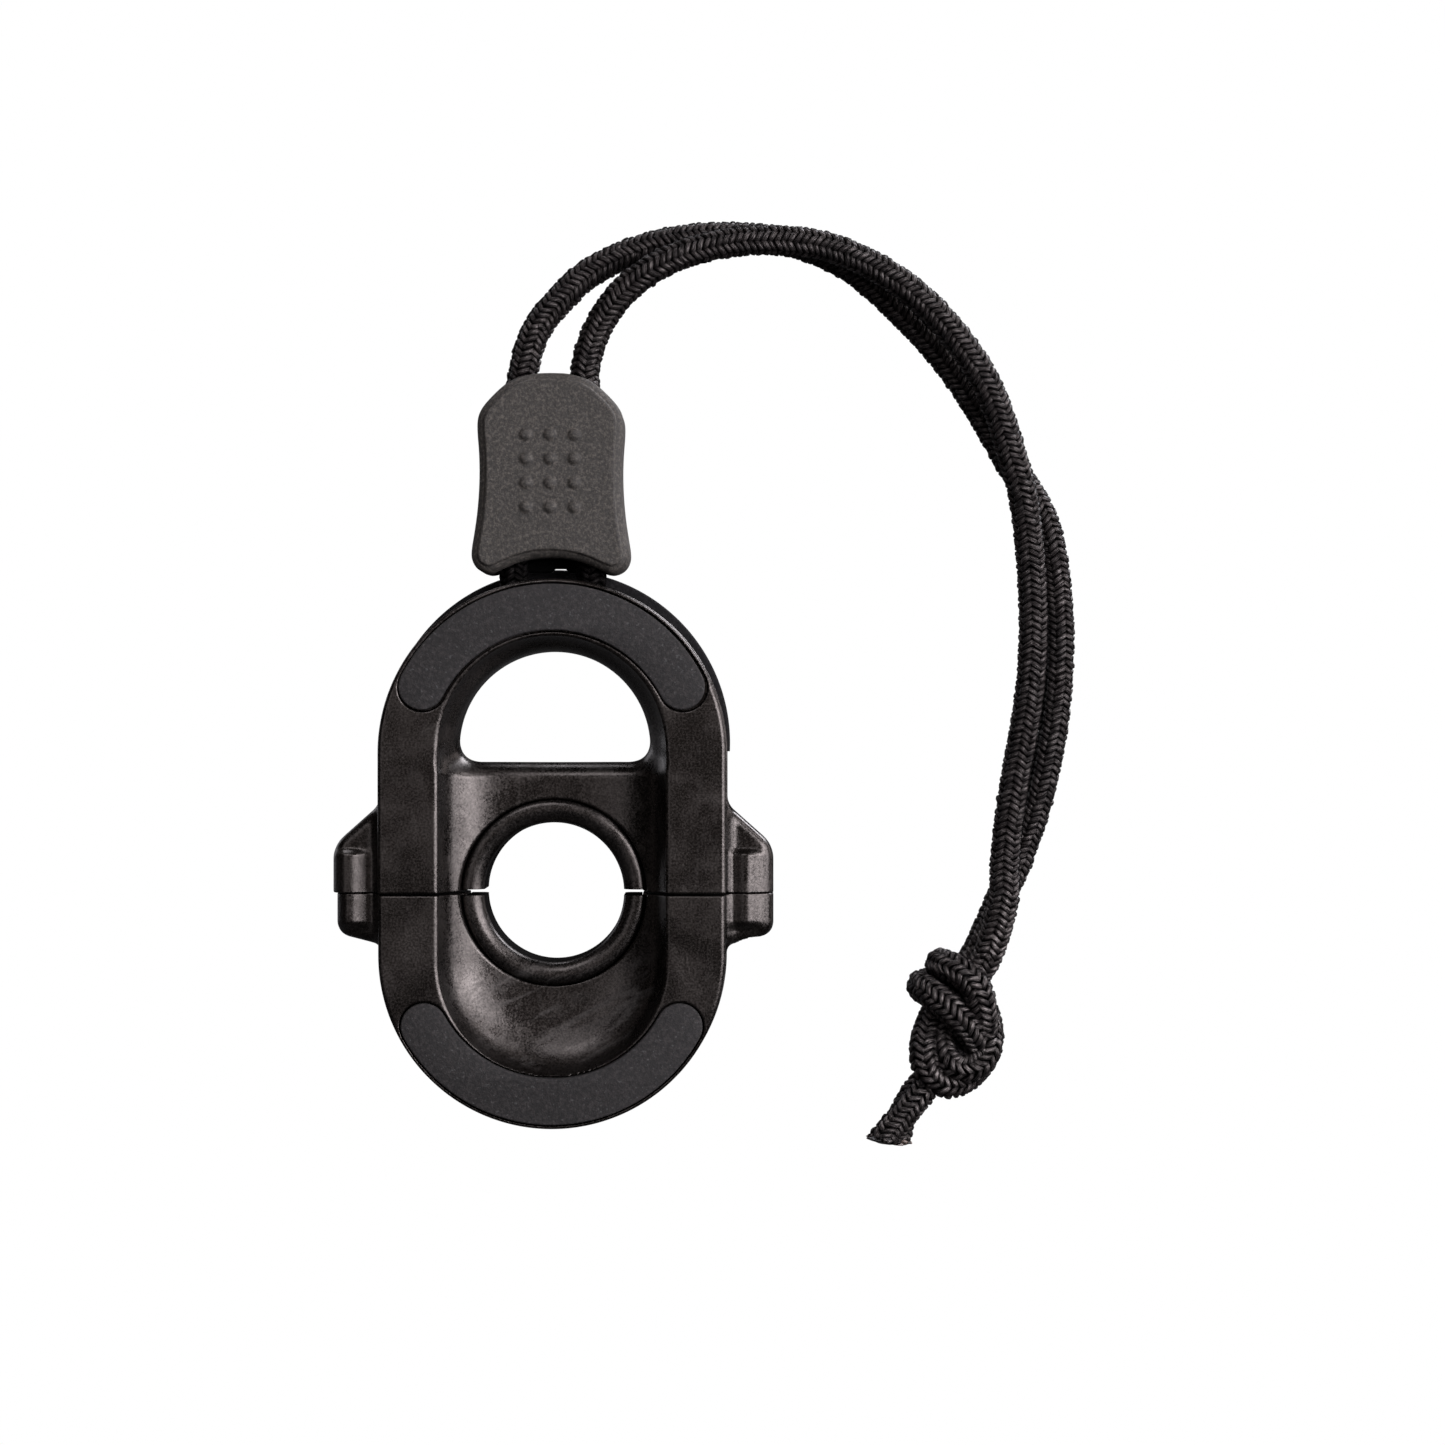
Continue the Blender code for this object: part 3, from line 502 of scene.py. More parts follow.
def sd_boss(x, y, z, side, upper, radius=BOSS_R, reach=0.0):
    """Half a boss beside the body, with a soft rib on its front; reach draws it inward."""
    out = x * side
    centre = BOSS_X - reach
    rib_at, spread = (16.75, 1.15) if side > 0 else (17.85, 1.35)
    rise = np.clip((4.0 - z) / 0.7, 0, 1) * np.clip((z + 3.35) / 0.9, 0, 1)
    rise = 0.62 * rise * rise * (3 - 2 * rise) * np.exp(-(((out - rib_at) / spread) ** 2))
    rise = rise + 0.4 * np.exp(-(((out - 15.15) / 0.5) ** 2))
    half = radius - 0.1
    wall = rounded(out - centre - radius, np.maximum(y - half, -y - half - rise), 1.15)
    wall = np.maximum(wall, 11.5 - out)
    if upper:
        slope = 0.664 * (out - (centre + radius)) + 0.747 * (z - 4.12)
        return smooth_max(smooth_max(wall, slope, 0.9), -z - 0.5, 0.05)
    foot = 0.25 * (out - centre - 1.0) + 0.968 * (-z - 3.88)
    return smooth_max(smooth_max(wall, foot, 1.1), z - 0.5, 0.05)


def split_gap(x):
    """Half the gap at the parting plane: finer out at the bosses."""
    return PART_GAP - 0.07 * np.clip((np.abs(x) - 15.0) / 0.4, 0, 1)


def sd_leg_holes(x, y, z, radius):
    """The cord's two upright channels, and the one that joins them below."""
    left, right = LEG_X
    upright = z - np.clip(z, BIGHT_Z + 1.2, 34)
    legs = np.minimum(*(length(x - leg_x, y, upright) - radius for leg_x in LEG_X))
    across = length(x - np.clip(x, left + 1.2, right - 1.2), y, z - BIGHT_Z) - radius
    return smooth_min(legs, across, 0.8)


def sd_shell(x, y, z, radius):
    """The stadium body: a front rim, a narrow groove round it, a slightly larger rear shell."""
    flat = sd_stadium(x, z, radius, TOP_Z, BOT_Z)
    front = slab(flat, y, FRONT_Y, 0.0, 0.4)
    rear = slab(flat - 0.13, y, -2.15, BACK_Y, 0.3)
    core = slab(flat + 0.3, y, FRONT_Y + 0.4, BACK_Y - 0.4, 0.2)
    front = np.maximum(front, y + 2.62)
    return np.minimum(smooth_min(front, core, 0.12), smooth_min(rear, core, 0.12))


def sd_seat(x, y, z):
    """The stepped hole the collar sits in."""
    away = length(x, z)
    return np.minimum(away - SEAT_DEEP_R, np.maximum(away - SEAT_R, y - SEAT_STEP_Y))


def sd_rear_lip(x, z, grow):
    """The upper rear pad's outline, grown all round."""
    reach = REAR_LIP_R + grow
    outer = np.where(z > REAR_LIP_Z, length(x, z - REAR_LIP_Z), np.abs(x)) - reach
    inner = PAD_IN - 0.1 - grow - length(x, z - TOP_Z)
    return np.maximum(np.maximum(outer, inner), REAR_LIP_FOOT - grow - z)


def hollowed(solid, x, y, z):
    """A body with the front recess and the collar's seat cut out."""
    solid = smooth_max(solid, -sd_dish(x, y, z), 0.24)
    return solid, -sd_seat(x, y, z)


def frame_field(points):
    x, y, z = np.moveaxis(points, -1, 0)
    solid = sd_shell(x, y, z, RIM_R)
    solid = smooth_min(solid, sd_boss(x, y, z, 1, True), 0.6)
    solid = smooth_min(solid, sd_boss(x, y, z, -1, True, reach=-0.1), 0.6)
    solid, seat = hollowed(solid, x, y, z)
    # the window widens towards the back
    grow = np.clip(y - 0.8, 0, 6)
    hole = sd_window(x, z, WINDOW_R + 0.17 * grow, WINDOW_SILL - 0.1 * grow)
    near_sill = np.exp(-(((z - WINDOW_SILL) / 1.4) ** 2))
    solid = smooth_max(solid, -hole, 1.1 + 1.1 * near_sill)
    solid = smooth_max(solid, seat, 0.25)
    outer = PAD_OUT + PAD_GAP + 0.04
    pocket = sd_band(x - 0.1, z + 0.06, TOP_Z, PAD_IN - PAD_GAP, outer, *PAD_TOP_SWEEP)
    solid = smooth_max(solid, -np.maximum(pocket, y - PAD_FLOOR_Y), 0.14)
    rebate = np.maximum(sd_rear_lip(x, z, 0.12), REAR_FLOOR_Y - y)
    solid = np.maximum(solid, -rebate)
    solid = smooth_max(solid, -sd_leg_holes(x, y, z, CORD_R + 0.28), 0.35)
    bore = np.maximum(length(x - BOSS_X, y) - 1.56, z - 3.8)
    solid = np.maximum(solid, -bore)
    well = np.maximum(length(x - MAGNET_X, y) - WELL_R, z - WELL_DEPTH)
    solid = np.maximum(solid, -well)
    return smooth_max(solid, split_gap(x) - z, 0.07)


def gate_field(points):
    x, y, z = np.moveaxis(points, -1, 0)
    solid = sd_shell(x, y, z, RIM_R - 0.06)
    solid = smooth_min(solid, sd_boss(x, y, z, 1, False), 0.6)
    solid = smooth_min(solid, sd_boss(x, y, z, -1, False, radius=2.1, reach=0.15), 0.6)
    solid, seat = hollowed(solid, x, y, z)
    solid = smooth_max(solid, seat, 0.25)
    pocket = sd_band(x, z, BOT_Z, PAD_IN - PAD_GAP, PAD_OUT + PAD_GAP, *PAD_BOT_SWEEP)
    for low, high in ((-9.0, PAD_FLOOR_Y), (REAR_FLOOR_Y, 9.0)):
        cut = np.maximum(pocket, np.maximum(low - y, y - high))
        solid = smooth_max(solid, -cut, 0.14)
    # the screw's shank hole, and the wider one for its head
    axis = length(x - BOSS_X, y)
    solid = np.maximum(solid, -(axis - SCREW_R - 0.2))
    solid = np.maximum(solid, -np.maximum(axis - 1.62, z + 2.1))
    well = np.maximum(length(x - MAGNET_X, y) - WELL_R, -WELL_DEPTH - z)
    solid = np.maximum(solid, -well)
    return smooth_max(solid, z + split_gap(x), 0.07)


# the slider's right-hand outline from its top to its foot: x from its middle, z
SLIDER_SIDE = (
    (0.0, 45.35), (1.6, 45.28), (2.85, 44.97), (3.95, 44.36), (5.05, 43.36), (5.9, 42.38),
    (6.32, 41.45), (6.38, 40.3), (6.25, 38.5), (6.2, 36.8), (6.25, 35.0), (6.42, 33.0),
    (6.68, 31.2), (6.88, 29.9), (6.85, 29.1), (6.5, 28.4), (5.9, 27.98), (5.2, 27.87),
    (4.4, 28.15), (3.0, 28.75), (1.5, 29.15), (0.0, 29.27),
)
DOT_PITCH, DOT_TOP_Z, DOT_R = 2.1, 39.9, 0.5


def spline(points, per_span):
    """Catmull-Rom through the given points."""
    given = [np.asarray(point, float) for point in points]
    given = [2 * given[0] - given[1]] + given + [2 * given[-1] - given[-2]]
    out = []
    for before, start, end, after in zip(given, given[1:], given[2:], given[3:]):
        bend = 2 * before - 5 * start + 4 * end - after
        twist = 3 * start - before - 3 * end + after
        for i in range(per_span):
            t = i / per_span
            out.append(0.5 * (2 * start + (end - before) * t + bend * t * t + twist * t**3))
    out.append(given[-2])
    return np.array(out)


SLIDER_EDGE = spline(SLIDER_SIDE, 3)
SLIDER_OUTLINE = np.concatenate([SLIDER_EDGE, SLIDER_EDGE[-2:0:-1] * (-1, 1)])


def sd_polygon(x, z, points):
    """Signed distance to a closed outline."""
    best = np.full(x.shape, 1e9)
    sign = np.ones(x.shape)
    for i in range(len(points)):
        start, end = points[i], points[i - 1]
        edge_x, edge_z = end[0] - start[0], end[1] - start[1]
        from_x, from_z = x - start[0], z - start[1]
        size = max(edge_x * edge_x + edge_z * edge_z, 1e-12)
        share = np.clip((from_x * edge_x + from_z * edge_z) / size, 0, 1)
        gap = (from_x - edge_x * share) ** 2 + (from_z - edge_z * share) ** 2
        best = np.minimum(best, gap)
        above, below, left = z >= start[1], z < end[1], edge_x * from_z > edge_z * from_x
        flip = (above & below & left) | (~above & ~below & ~left)
        sign = np.where(flip, -sign, sign)
    return sign * np.sqrt(best)


def slider_field(points):
    x, y, z = np.moveaxis(points, -1, 0)
    off = x - SLIDER_X
    flat = sd_polygon(np.abs(off), z, SLIDER_OUTLINE)
    solid = slab(flat, y, 0.18 - SLIDER_HALF_Y, SLIDER_HALF_Y, 0.95)
    front = slab(flat + 0.62, y, -SLIDER_HALF_Y - 0.03, 1.0, 0.16)
    solid = smooth_min(solid, front, 0.08)
    # a skirt low at the back, with a shallow notch in its foot
    notch = np.clip((x + 0.4) / 0.3, 0, 1) * np.clip((1.15 - x) / 0.3, 0, 1)
    foot = 28.12 + 0.36 * notch
    skirt = np.maximum(np.abs(off) - 5.2, np.maximum(foot - z, z - 31.0))
    skirt = smooth_max(skirt, np.abs(y - 2.35) - 0.6, 0.3)
    solid = smooth_min(solid, skirt, 0.3)
    # three columns and four rows of raised dots on the front
    dot_x = off - DOT_PITCH * np.clip(np.round(off / DOT_PITCH), -1, 1)
    dot_z = z - DOT_TOP_Z + DOT_PITCH * np.clip(np.round((DOT_TOP_Z - z) / DOT_PITCH), 0, 3)
    dot = length(dot_x, dot_z, (y + SLIDER_HALF_Y + 0.05) * 1.9) - DOT_R
    solid = smooth_min(solid, dot * 0.75, 0.16)
    for leg_x, top_x in zip(LEG_X, TOP_X):
        leg = np.maximum(length(x - leg_x, y) - CORD_R - 0.22, z - 43.3)
        mouth = length(x - top_x, y) - CORD_R - 0.26 - np.clip(z - 44.3, 0, 3) * 0.75
        mouth = np.maximum(mouth, 42.6 - z)
        solid = smooth_max(solid, -smooth_min(leg, mouth, 0.5), 0.35)
    return solid


# ---------------------------------------------------------------- surface nets
def slope_of(field, points, step):
    """The field's rise along x, y and z, over twice the step."""
    moves = step * np.eye(3)
    return np.stack([field(points + move) - field(points - move) for move in moves], -1)


def size_of(vectors):
    return np.sqrt((vectors**2).sum(-1, keepdims=True))


def surface_nets(field, low, high, step):
    """(points, quads) of field == 0: one point per crossed cell, moved onto the surface."""
    low, high = np.asarray(low, float), np.asarray(high, float)
    count = np.ceil((high - low) / step).astype(int) + 1
    axes = [low[i] + step * np.arange(count[i]) for i in range(3)]
    values = np.empty(count)
    for i in range(0, count[0], 24):  # in slices, to spare memory
        grid = np.meshgrid(axes[0][i : i + 24], axes[1], axes[2], indexing="ij")
        values[i : i + 24] = field(np.stack(grid, -1))
    inside = values < 0
    corners = [(i, j, k) for i in (0, 1) for j in (0, 1) for k in (0, 1)]
    cells = tuple(c - 1 for c in count)
    filled = sum(
        inside[i : i + cells[0], j : j + cells[1], k : k + cells[2]].astype(np.int8)
        for i, j, k in corners
    )
    active = (filled > 0) & (filled < 8)
    index = np.full(cells, -1, np.int64)
    where = np.argwhere(active)
    index[active] = np.arange(len(where))

    # each point starts at the mean of its cell's edge crossings
    total, hits = np.zeros((len(where), 3)), np.zeros(len(where))
    for corner in corners:
        for axis in range(3):
            if corner[axis]:
                continue
            other = tuple(1 if i == axis else corner[i] for i in range(3))
            here = values[tuple((where + corner).T)]
            there = values[tuple((where + other).T)]
            crossed = (here < 0) != (there < 0)
            place = np.array(corner, float)[None, :].repeat(len(where), 0)
            place[:, axis] += np.where(crossed, here / np.where(crossed, here - there, 1), 0)
            total[crossed] += place[crossed]
            hits += crossed
    start = low + (where + total / hits[:, None]) * step
    points = start
    probe = 0.01
    for _ in range(5):
        slope = slope_of(field, points, probe) / (2 * probe)
        steep = np.maximum((slope**2).sum(-1, keepdims=True), 0.2)
        move = -field(points)[:, None] * slope / steep
        limit = np.minimum(1, 0.4 * step / np.maximum(size_of(move), 1e-9))
        points = points + move * limit * 0.9
    drift = points - start
    points = start + drift * np.minimum(1, 0.75 * step / np.maximum(size_of(drift), 1e-9))

    quads = []
    for axis in range(3):
        second, third = [i for i in range(3) if i != axis]
        sides = [[slice(1, -1)] * 3 for _ in range(2)]
        sides[0][axis], sides[1][axis] = slice(0, -1), slice(1, None)
        here, there = (inside[tuple(side)] for side in sides)
        for crossed, flip in ((here & ~there, False), (~here & there, True)):
            ring = []
            for i, j in ((0, 0), (1, 0), (1, 1), (0, 1)):
                cell = np.argwhere(crossed)
                cell[:, second] += i
                cell[:, third] += j
                ring.append(index[tuple(cell.T)])
            quad = np.stack(ring, -1)
            quads.append(quad[:, ::-1] if flip != (axis == 1) else quad)
    return points, np.concatenate(quads)


def shade_by_field(mesh, field, points):
    """Normals from the field's slope, smooth along narrow edges; folds keep the mesh's own."""
    slope = slope_of(field, points, 0.04)
    size = size_of(slope)
    slope = slope / np.maximum(size, 1e-9)
    own = np.empty(len(mesh.vertices) * 3, np.float32)
    mesh.vertex_normals.foreach_get("vector", own)
    own = own.reshape(-1, 3)
    good = ((slope * own).sum(-1) > 0.8) & (size[:, 0] > 0.06)
    normals = np.where(good[:, None], slope, own)
    mesh.normals_split_custom_set_from_vertices(normals.tolist())


# ---------------------------------------------------------------- objects
def linked(name, data):
    obj = bpy.data.objects.new(name, data)
    scene.collection.objects.link(obj)
    return obj


def quad_object(name, points, faces, material):
    """A smooth object from arrays of points, in mm, and quads."""
    mesh = bpy.data.meshes.new(name)
    points = ((points - ORIGIN) * MM).astype(np.float32)
    mesh.vertices.add(len(points))
    mesh.vertices.foreach_set("co", points.ravel())
    mesh.loops.add(faces.size)
    mesh.loops.foreach_set("vertex_index", faces.ravel().astype(np.int32))
    mesh.polygons.add(len(faces))
    starts = np.arange(len(faces)) * faces.shape[1]
    mesh.polygons.foreach_set("loop_start", starts.astype(np.int32))
    mesh.update()
    mesh.validate()
    mesh.materials.append(material)
    mesh.shade_smooth()
    return linked(name, mesh)


def bmesh_object(name, shape, material, sharp=None, mesh=None):
    """A smooth object from a bmesh; edges over the sharp angle, in degrees, stay sharp."""
    mesh = mesh or bpy.data.meshes.new(name)
    shape.to_mesh(mesh)
    shape.free()
    mesh.materials.append(material)
    mesh.shade_smooth()
    if sharp:
        mesh.set_sharp_from_angle(angle=math.radians(sharp))
    return linked(name, mesh)


def fit(piece, node, body):
    """Stand a piece in for a CAD node, on a moving body."""
    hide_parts(node)
    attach(piece, body)


# ---------------------------------------------------------------- moulded pieces
# name, CAD node, field, lowest and highest corner, grid step, material, slot, body
MOULDED = (
    ("frame_shell", "upper_frame", frame_field, (-20.3, -5.6, -0.5), (20.3, 5.6, 28.6), 0.14,
     PLASTIC, "moulded_nylon", "frame"),
    ("gate_shell", "lower_gate", gate_field, (-20.3, -5.6, -21.2), (20.3, 5.6, 0.5), 0.14,
     PLASTIC, "moulded_nylon", "gate"),
    ("slider_body", "cord_slider", slider_field, (-8.0, -4.2, 27.0), (7.6, 4.2, 46.2), 0.16,
     GRIP, "slider_rubber", "slider"),
)
for name, node, field, low, high, step, material, slot, body in MOULDED:
    points, quads = surface_nets(field, low, high, step * (1))
    piece = quad_object(name, points, quads, material)
    shade_by_field(piece.data, field, points)
    fit(piece, node, body)


# ---------------------------------------------------------------- pads
def arc(centre_x, centre_z, radius, start, end, count):
    angles = [math.radians(start + (end - start) * i / count) for i in range(count + 1)]
    return [(centre_x + radius * math.cos(a), centre_z + radius * math.sin(a)) for a in angles]


def band(centre, inner, outer, start, end, count=90):
    """The outline of a strip along an arc, with round ends."""
    mid, half = (inner + outer) / 2, (outer - inner) / 2
    caps = []
    for angle, turn in ((end, 0), (start, 180)):
        x = mid * math.cos(math.radians(angle))
        z = centre + mid * math.sin(math.radians(angle))
        caps.append(arc(x, z, half, angle + turn, angle + turn + 180, 20)[1:-1])
    return (
        arc(0, centre, outer, start, end, count) + caps[0]
        + arc(0, centre, inner, end, start, count) + caps[1]
    )


def lip_outline():
    """The upper rear pad: an arch with two level feet."""
    foot, inside, outside = REAR_LIP_FOOT, PAD_IN - 0.1, REAR_LIP_R - 0.02
    outer = arc(0, REAR_LIP_Z, REAR_LIP_R, -2, 182, 120)
    inner = arc(0, TOP_Z, inside, 180, 0, 90)
    outer, inner = ([p for p in line if p[1] > foot + 0.1] for line in (outer, inner))
    return (
        [(outside, foot)] + outer + [(-outside, foot), (-inside, foot)]
        + inner + [(inside, foot)]
    )


def plate(name, outline, front, back, edge, material):
    """A flat plate with rounded edges, from its outline and its front and back y."""
    curve = bpy.data.curves.new(name + "_curve", "CURVE")
    curve.dimensions = "2D"
    curve.fill_mode = "BOTH"
    curve.extrude = (abs(back - front) / 2 - edge) * MM
    curve.bevel_depth = edge * MM
    curve.bevel_resolution = 2
    curve.offset = -edge * MM
    line = curve.splines.new("POLY")
    line.points.add(len(outline) - 1)
    for point, (x, z) in zip(line.points, outline):
        point.co = (x * MM, z * MM, 0, 1)
    line.use_cyclic_u = True
    source = linked(name + "_source", curve)
    bpy.context.view_layer.update()
    graph = bpy.context.evaluated_depsgraph_get()
    mesh = bpy.data.meshes.new_from_object(source.evaluated_get(graph))
    bpy.data.objects.remove(source, do_unlink=True)
    place = Vector((0, (front + back) / 2 * MM, 0)) - Vector(ORIGIN) * MM
    turn = Matrix.Translation(place) @ Matrix.Rotation(math.pi / 2, 4, "X")
    shape = bmesh.new()
    shape.from_mesh(mesh)
    bmesh.ops.transform(shape, matrix=turn, verts=shape.verts)
    bmesh.ops.remove_doubles(shape, verts=shape.verts, dist=2e-6)
    bmesh.ops.recalc_face_normals(shape, faces=shape.faces)
    mesh.name = name
    mesh.materials.clear()
    return bmesh_object(name, shape, material, sharp=38, mesh=mesh)


TOP_BAND = band(TOP_Z, PAD_IN, PAD_OUT, *PAD_TOP_SWEEP)
BOT_BAND = band(BOT_Z, PAD_IN, PAD_OUT, *PAD_BOT_SWEEP)
# name, CAD node, outline, front and back y, edge radius, material, body
PADS = (
    ("front_pad_upper", "upper_front_pad", TOP_BAND, FRONT_PAD_Y, 0.14, PAD, "frame"),
    ("front_pad_lower", "lower_front_pad", BOT_BAND, FRONT_PAD_Y, 0.14, PAD, "gate"),
    ("rear_pad_upper", "upper_rear_pad", lip_outline(), REAR_PAD_Y, 0.25, REAR, "frame"),
    ("rear_pad_lower", "lower_rear_pad", BOT_BAND, REAR_PAD_Y, 0.25, REAR, "gate"),
)
for name, node, outline, depth, edge, material, body in PADS:
    fit(plate(name, outline, *depth, edge, material), node, body)


# ---------------------------------------------------------------- collar
FLANGE_R, CREST_R, CREST_Y = 8.06, 7.32, -1.58
FLANGE_Y, INNER_Y = -1.16, -0.5  # where the crest's outer and inner curves start


def crest(reach, base, angles):
    """Part of the collar's rounded front edge, in (radius, y)."""
    turns = [math.radians(a) for a in angles]
    rise = CREST_Y - base
    return [(CREST_R + reach * math.cos(a), base + rise * math.sin(a)) for a in turns]


# the collar's section, (radius, y)
LINER_LINE = [
    (7.6, 4.3), (7.6, 2.55), (7.65, 2.5), (7.65, 0.04),
    (8.02, 0.02), (FLANGE_R, -0.04), (FLANGE_R, -1.14),
]
LINER_LINE += crest(FLANGE_R - CREST_R, FLANGE_Y, range(8, 90, 7))
LINER_LINE += crest(BORE_R - CREST_R, INNER_Y, range(90, 3, -6))
LINER_LINE += [(BORE_R, -0.1), (BORE_R, 3.7), (6.14, 3.9), (6.3, 4.15), (6.5, 4.3)]


def jaw(name, upper):
    """Half of the turned collar, closed across its split faces."""
    shape = bmesh.new()
    steps = 150
    rows = []
    for i in range(steps + 1):
        angle = math.radians(-8 + 196 * i / steps) * (1 if upper else -1)
        across, rise = math.cos(angle), math.sin(angle)
        ring = [row((radius * across, y, radius * rise)) for radius, y in LINER_LINE]
        rows.append([shape.verts.new(Vector(point)) for point in ring])
    for here, there in zip(rows, rows[1:]):
        for j in range(len(LINER_LINE)):
            k = (j + 1) % len(LINER_LINE)
            shape.faces.new((here[j], here[k], there[k], there[j]))
    for end in (rows[0], rows[-1]):
        shape.faces.new(end)
    bmesh.ops.recalc_face_normals(shape, faces=shape.faces)
    cut = Vector(row((0, 0, 0.27 if upper else -0.27)))
    bmesh.ops.bisect_plane(
        shape, geom=shape.verts[:] + shape.edges[:] + shape.faces[:], plane_co=cut,
        plane_no=(0, 0, -1 if upper else 1), clear_outer=True, dist=1e-8,
    )
    open_edges = [e for e in shape.edges if len(e.link_faces) == 1]
    bmesh.ops.holes_fill(shape, edges=open_edges)
    bmesh.ops.recalc_face_normals(shape, faces=shape.faces)
    rim = [e for e in shape.edges if all(abs(v.co.z - cut.z) < 1e-7 for v in e.verts)]
    bmesh.ops.bevel(
        shape, geom=rim, offset=0.00012, segments=2, profile=0.5, affect="EDGES",
        clamp_overlap=True,
    )
    return bmesh_object(name, shape, LINER, sharp=42)


fit(jaw("jaw_upper", True), "upper_jaw_liner", "frame")
fit(jaw("jaw_lower", False), "lower_jaw_liner", "gate")


# ---------------------------------------------------------------- screw, insert and magnets
# rings from the socket's floor, round the head and up the shank: radius, z, six-sided
SCREW_RINGS = (
    (0.62, -2.55, True), (0.66, -3.0, True), (0.72, -3.04, True), (1.05, -3.04, False),
    (1.3, -2.98, False), (1.46, -2.84, False), (1.52, -2.66, False), (1.52, -2.22, False),
    (1.48, -2.16, False), (0.98, -2.16, False), (0.98, 3.2, False), (0.85, 3.4, False),
)


def screw(name):
    """Button-head screw with a hexagon socket, along z from below."""
    shape = bmesh.new()
    count = 72
    rings = []
    for radius, z, hexagon in SCREW_RINGS:
        ring = []
        for i in range(count):
            angle = 2 * math.pi * i / count
            out = radius
            if hexagon:
                off = (angle % (math.pi / 3)) - math.pi / 6
                out = radius * math.cos(math.pi / 6) / math.cos(off)
            place = row((BOSS_X + out * math.cos(angle), out * math.sin(angle), z))
            ring.append(shape.verts.new(Vector(place)))
        rings.append(ring)
    for here, there in zip(rings, rings[1:]):
        for i in range(count):
            j = (i + 1) % count
            shape.faces.new((here[i], here[j], there[j], there[i]))
    shape.faces.new(rings[0][::-1])
    shape.faces.new(rings[-1])
    bmesh.ops.recalc_face_normals(shape, faces=shape.faces)
    return bmesh_object(name, shape, STEEL, sharp=35)


fit(screw("hinge_screw"), "pivot_screw", "frame")

# these keep their CAD shape
for node, look in (("pivot_insert", BRASS), ("frame_magnet", NICKEL), ("gate_magnet", NICKEL)):
    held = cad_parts[node]
    held.data.materials.clear()
    held.data.materials.append(look)

# ---------------------------------------------------------------- cord
# centre lines, (x, y, z): each strand from the slider over the bend to the knot
STRAND_A = (
    (-3.3, 0.0, 42.8), (TOP_X[0], 0.0, LIFT_Z), (-2.15, 0.0, 48.2), (-1.2, 0.2, 50.1),
    (0.3, 0.6, 52.0), (2.9, 1.1, 54.5), (6.6, 1.45, 56.4), (10.2, 1.5, 57.4),
    (13.8, 1.5, 57.8), (17.8, 1.5, 57.7), (21.6, 1.5, 57.1), (25.2, 1.5, 55.6),
    (28.2, 1.5, 53.4), (32.5, 1.5, 49.2), (35.8, 1.5, 45.1), (38.7, 1.5, 40.4),
    (40.2, 1.5, 37.7), (41.8, 1.45, 35.3), (43.0, 1.1, 33.0), (43.8, 0.8, 30.0),
    (44.2, 0.7, 26.8), (44.4, 0.6, 23.5), (44.4, 0.6, 20.3), (44.2, 0.6, 17.1),
    (43.8, 0.7, 13.9), (43.2, 0.8, 10.7), (42.5, 1.1, 7.6), (41.6, 1.4, 4.8),
    (40.6, 1.5, 2.0), (39.3, 1.5, -0.7),
)
STRAND_B = (
    (3.0, 0.0, 42.6), (TOP_X[1], 0.0, LIFT_Z), (3.15, 0.0, 48.0), (4.2, -0.3, 50.3),
    (5.9, -0.9, 52.5), (8.2, -1.45, 54.3), (11.0, -1.5, 55.7), (14.1, -1.5, 56.6),
    (17.2, -1.5, 57.0), (20.3, -1.5, 57.0), (23.3, -1.5, 56.6), (26.0, -1.5, 55.7),
    (28.6, -1.5, 54.4), (31.1, -1.5, 52.7), (33.5, -1.5, 50.5), (35.6, -1.5, 48.0),
    (37.5, -1.5, 45.1), (39.0, -1.5, 41.6), (40.2, -1.5, 37.7), (40.8, -1.45, 35.7),
    (41.3, -1.1, 33.2), (41.7, -0.9, 29.9), (41.9, -0.9, 26.8), (42.0, -0.9, 23.5),
    (41.9, -0.9, 20.3), (41.6, -0.9, 17.1), (41.1, -0.9, 13.9), (40.5, -0.9, 10.7),
    (40.0, -1.1, 7.6), (39.6, -1.4, 4.8), (39.4, -1.5, 2.2), (39.3, -1.5, -0.7),
)
# the same strands through the knot to their cut ends
KNOT_A = (
    (37.618, 1.4, -4.621), (36.3454, 1.0, -6.742), (34.9314, 0.6, -8.7216),
    (33.6588, 0.0, -10.5598), (32.669, -0.8, -12.398), (32.3862, -1.5, -14.2362),
    (32.9518, -1.6, -15.933), (34.2244, -1.4, -16.64), (35.7798, -0.6, -16.4279),
    (37.1938, 0.6, -15.3674), (38.1129, 1.7, -13.812), (38.2543, 2.4, -11.9738),
    (37.4766, 3.0, -9.9942), (36.0626, 3.2, -8.156), (34.6486, 2.6, -6.8834),
    (33.9416, 0.6, -6.3885), (34.6486, -1.6, -6.5299), (35.9212, -2.7, -7.1662),
    (36.911, -3.0, -8.4388), (37.3352, -2.7, -9.9942), (37.4766, -1.7, -11.5496),
    (37.3352, 0.0, -13.2464), (36.3454, 1.6, -14.6604), (34.79, 2.5, -15.5088),
    (33.2346, 2.2, -16.2158), (31.8913, 1.5, -17.5591), (30.9015, 1.3, -19.1852),
    (30.3359, 1.25, -20.7406), (30.0531, 1.2, -21.98492),
)
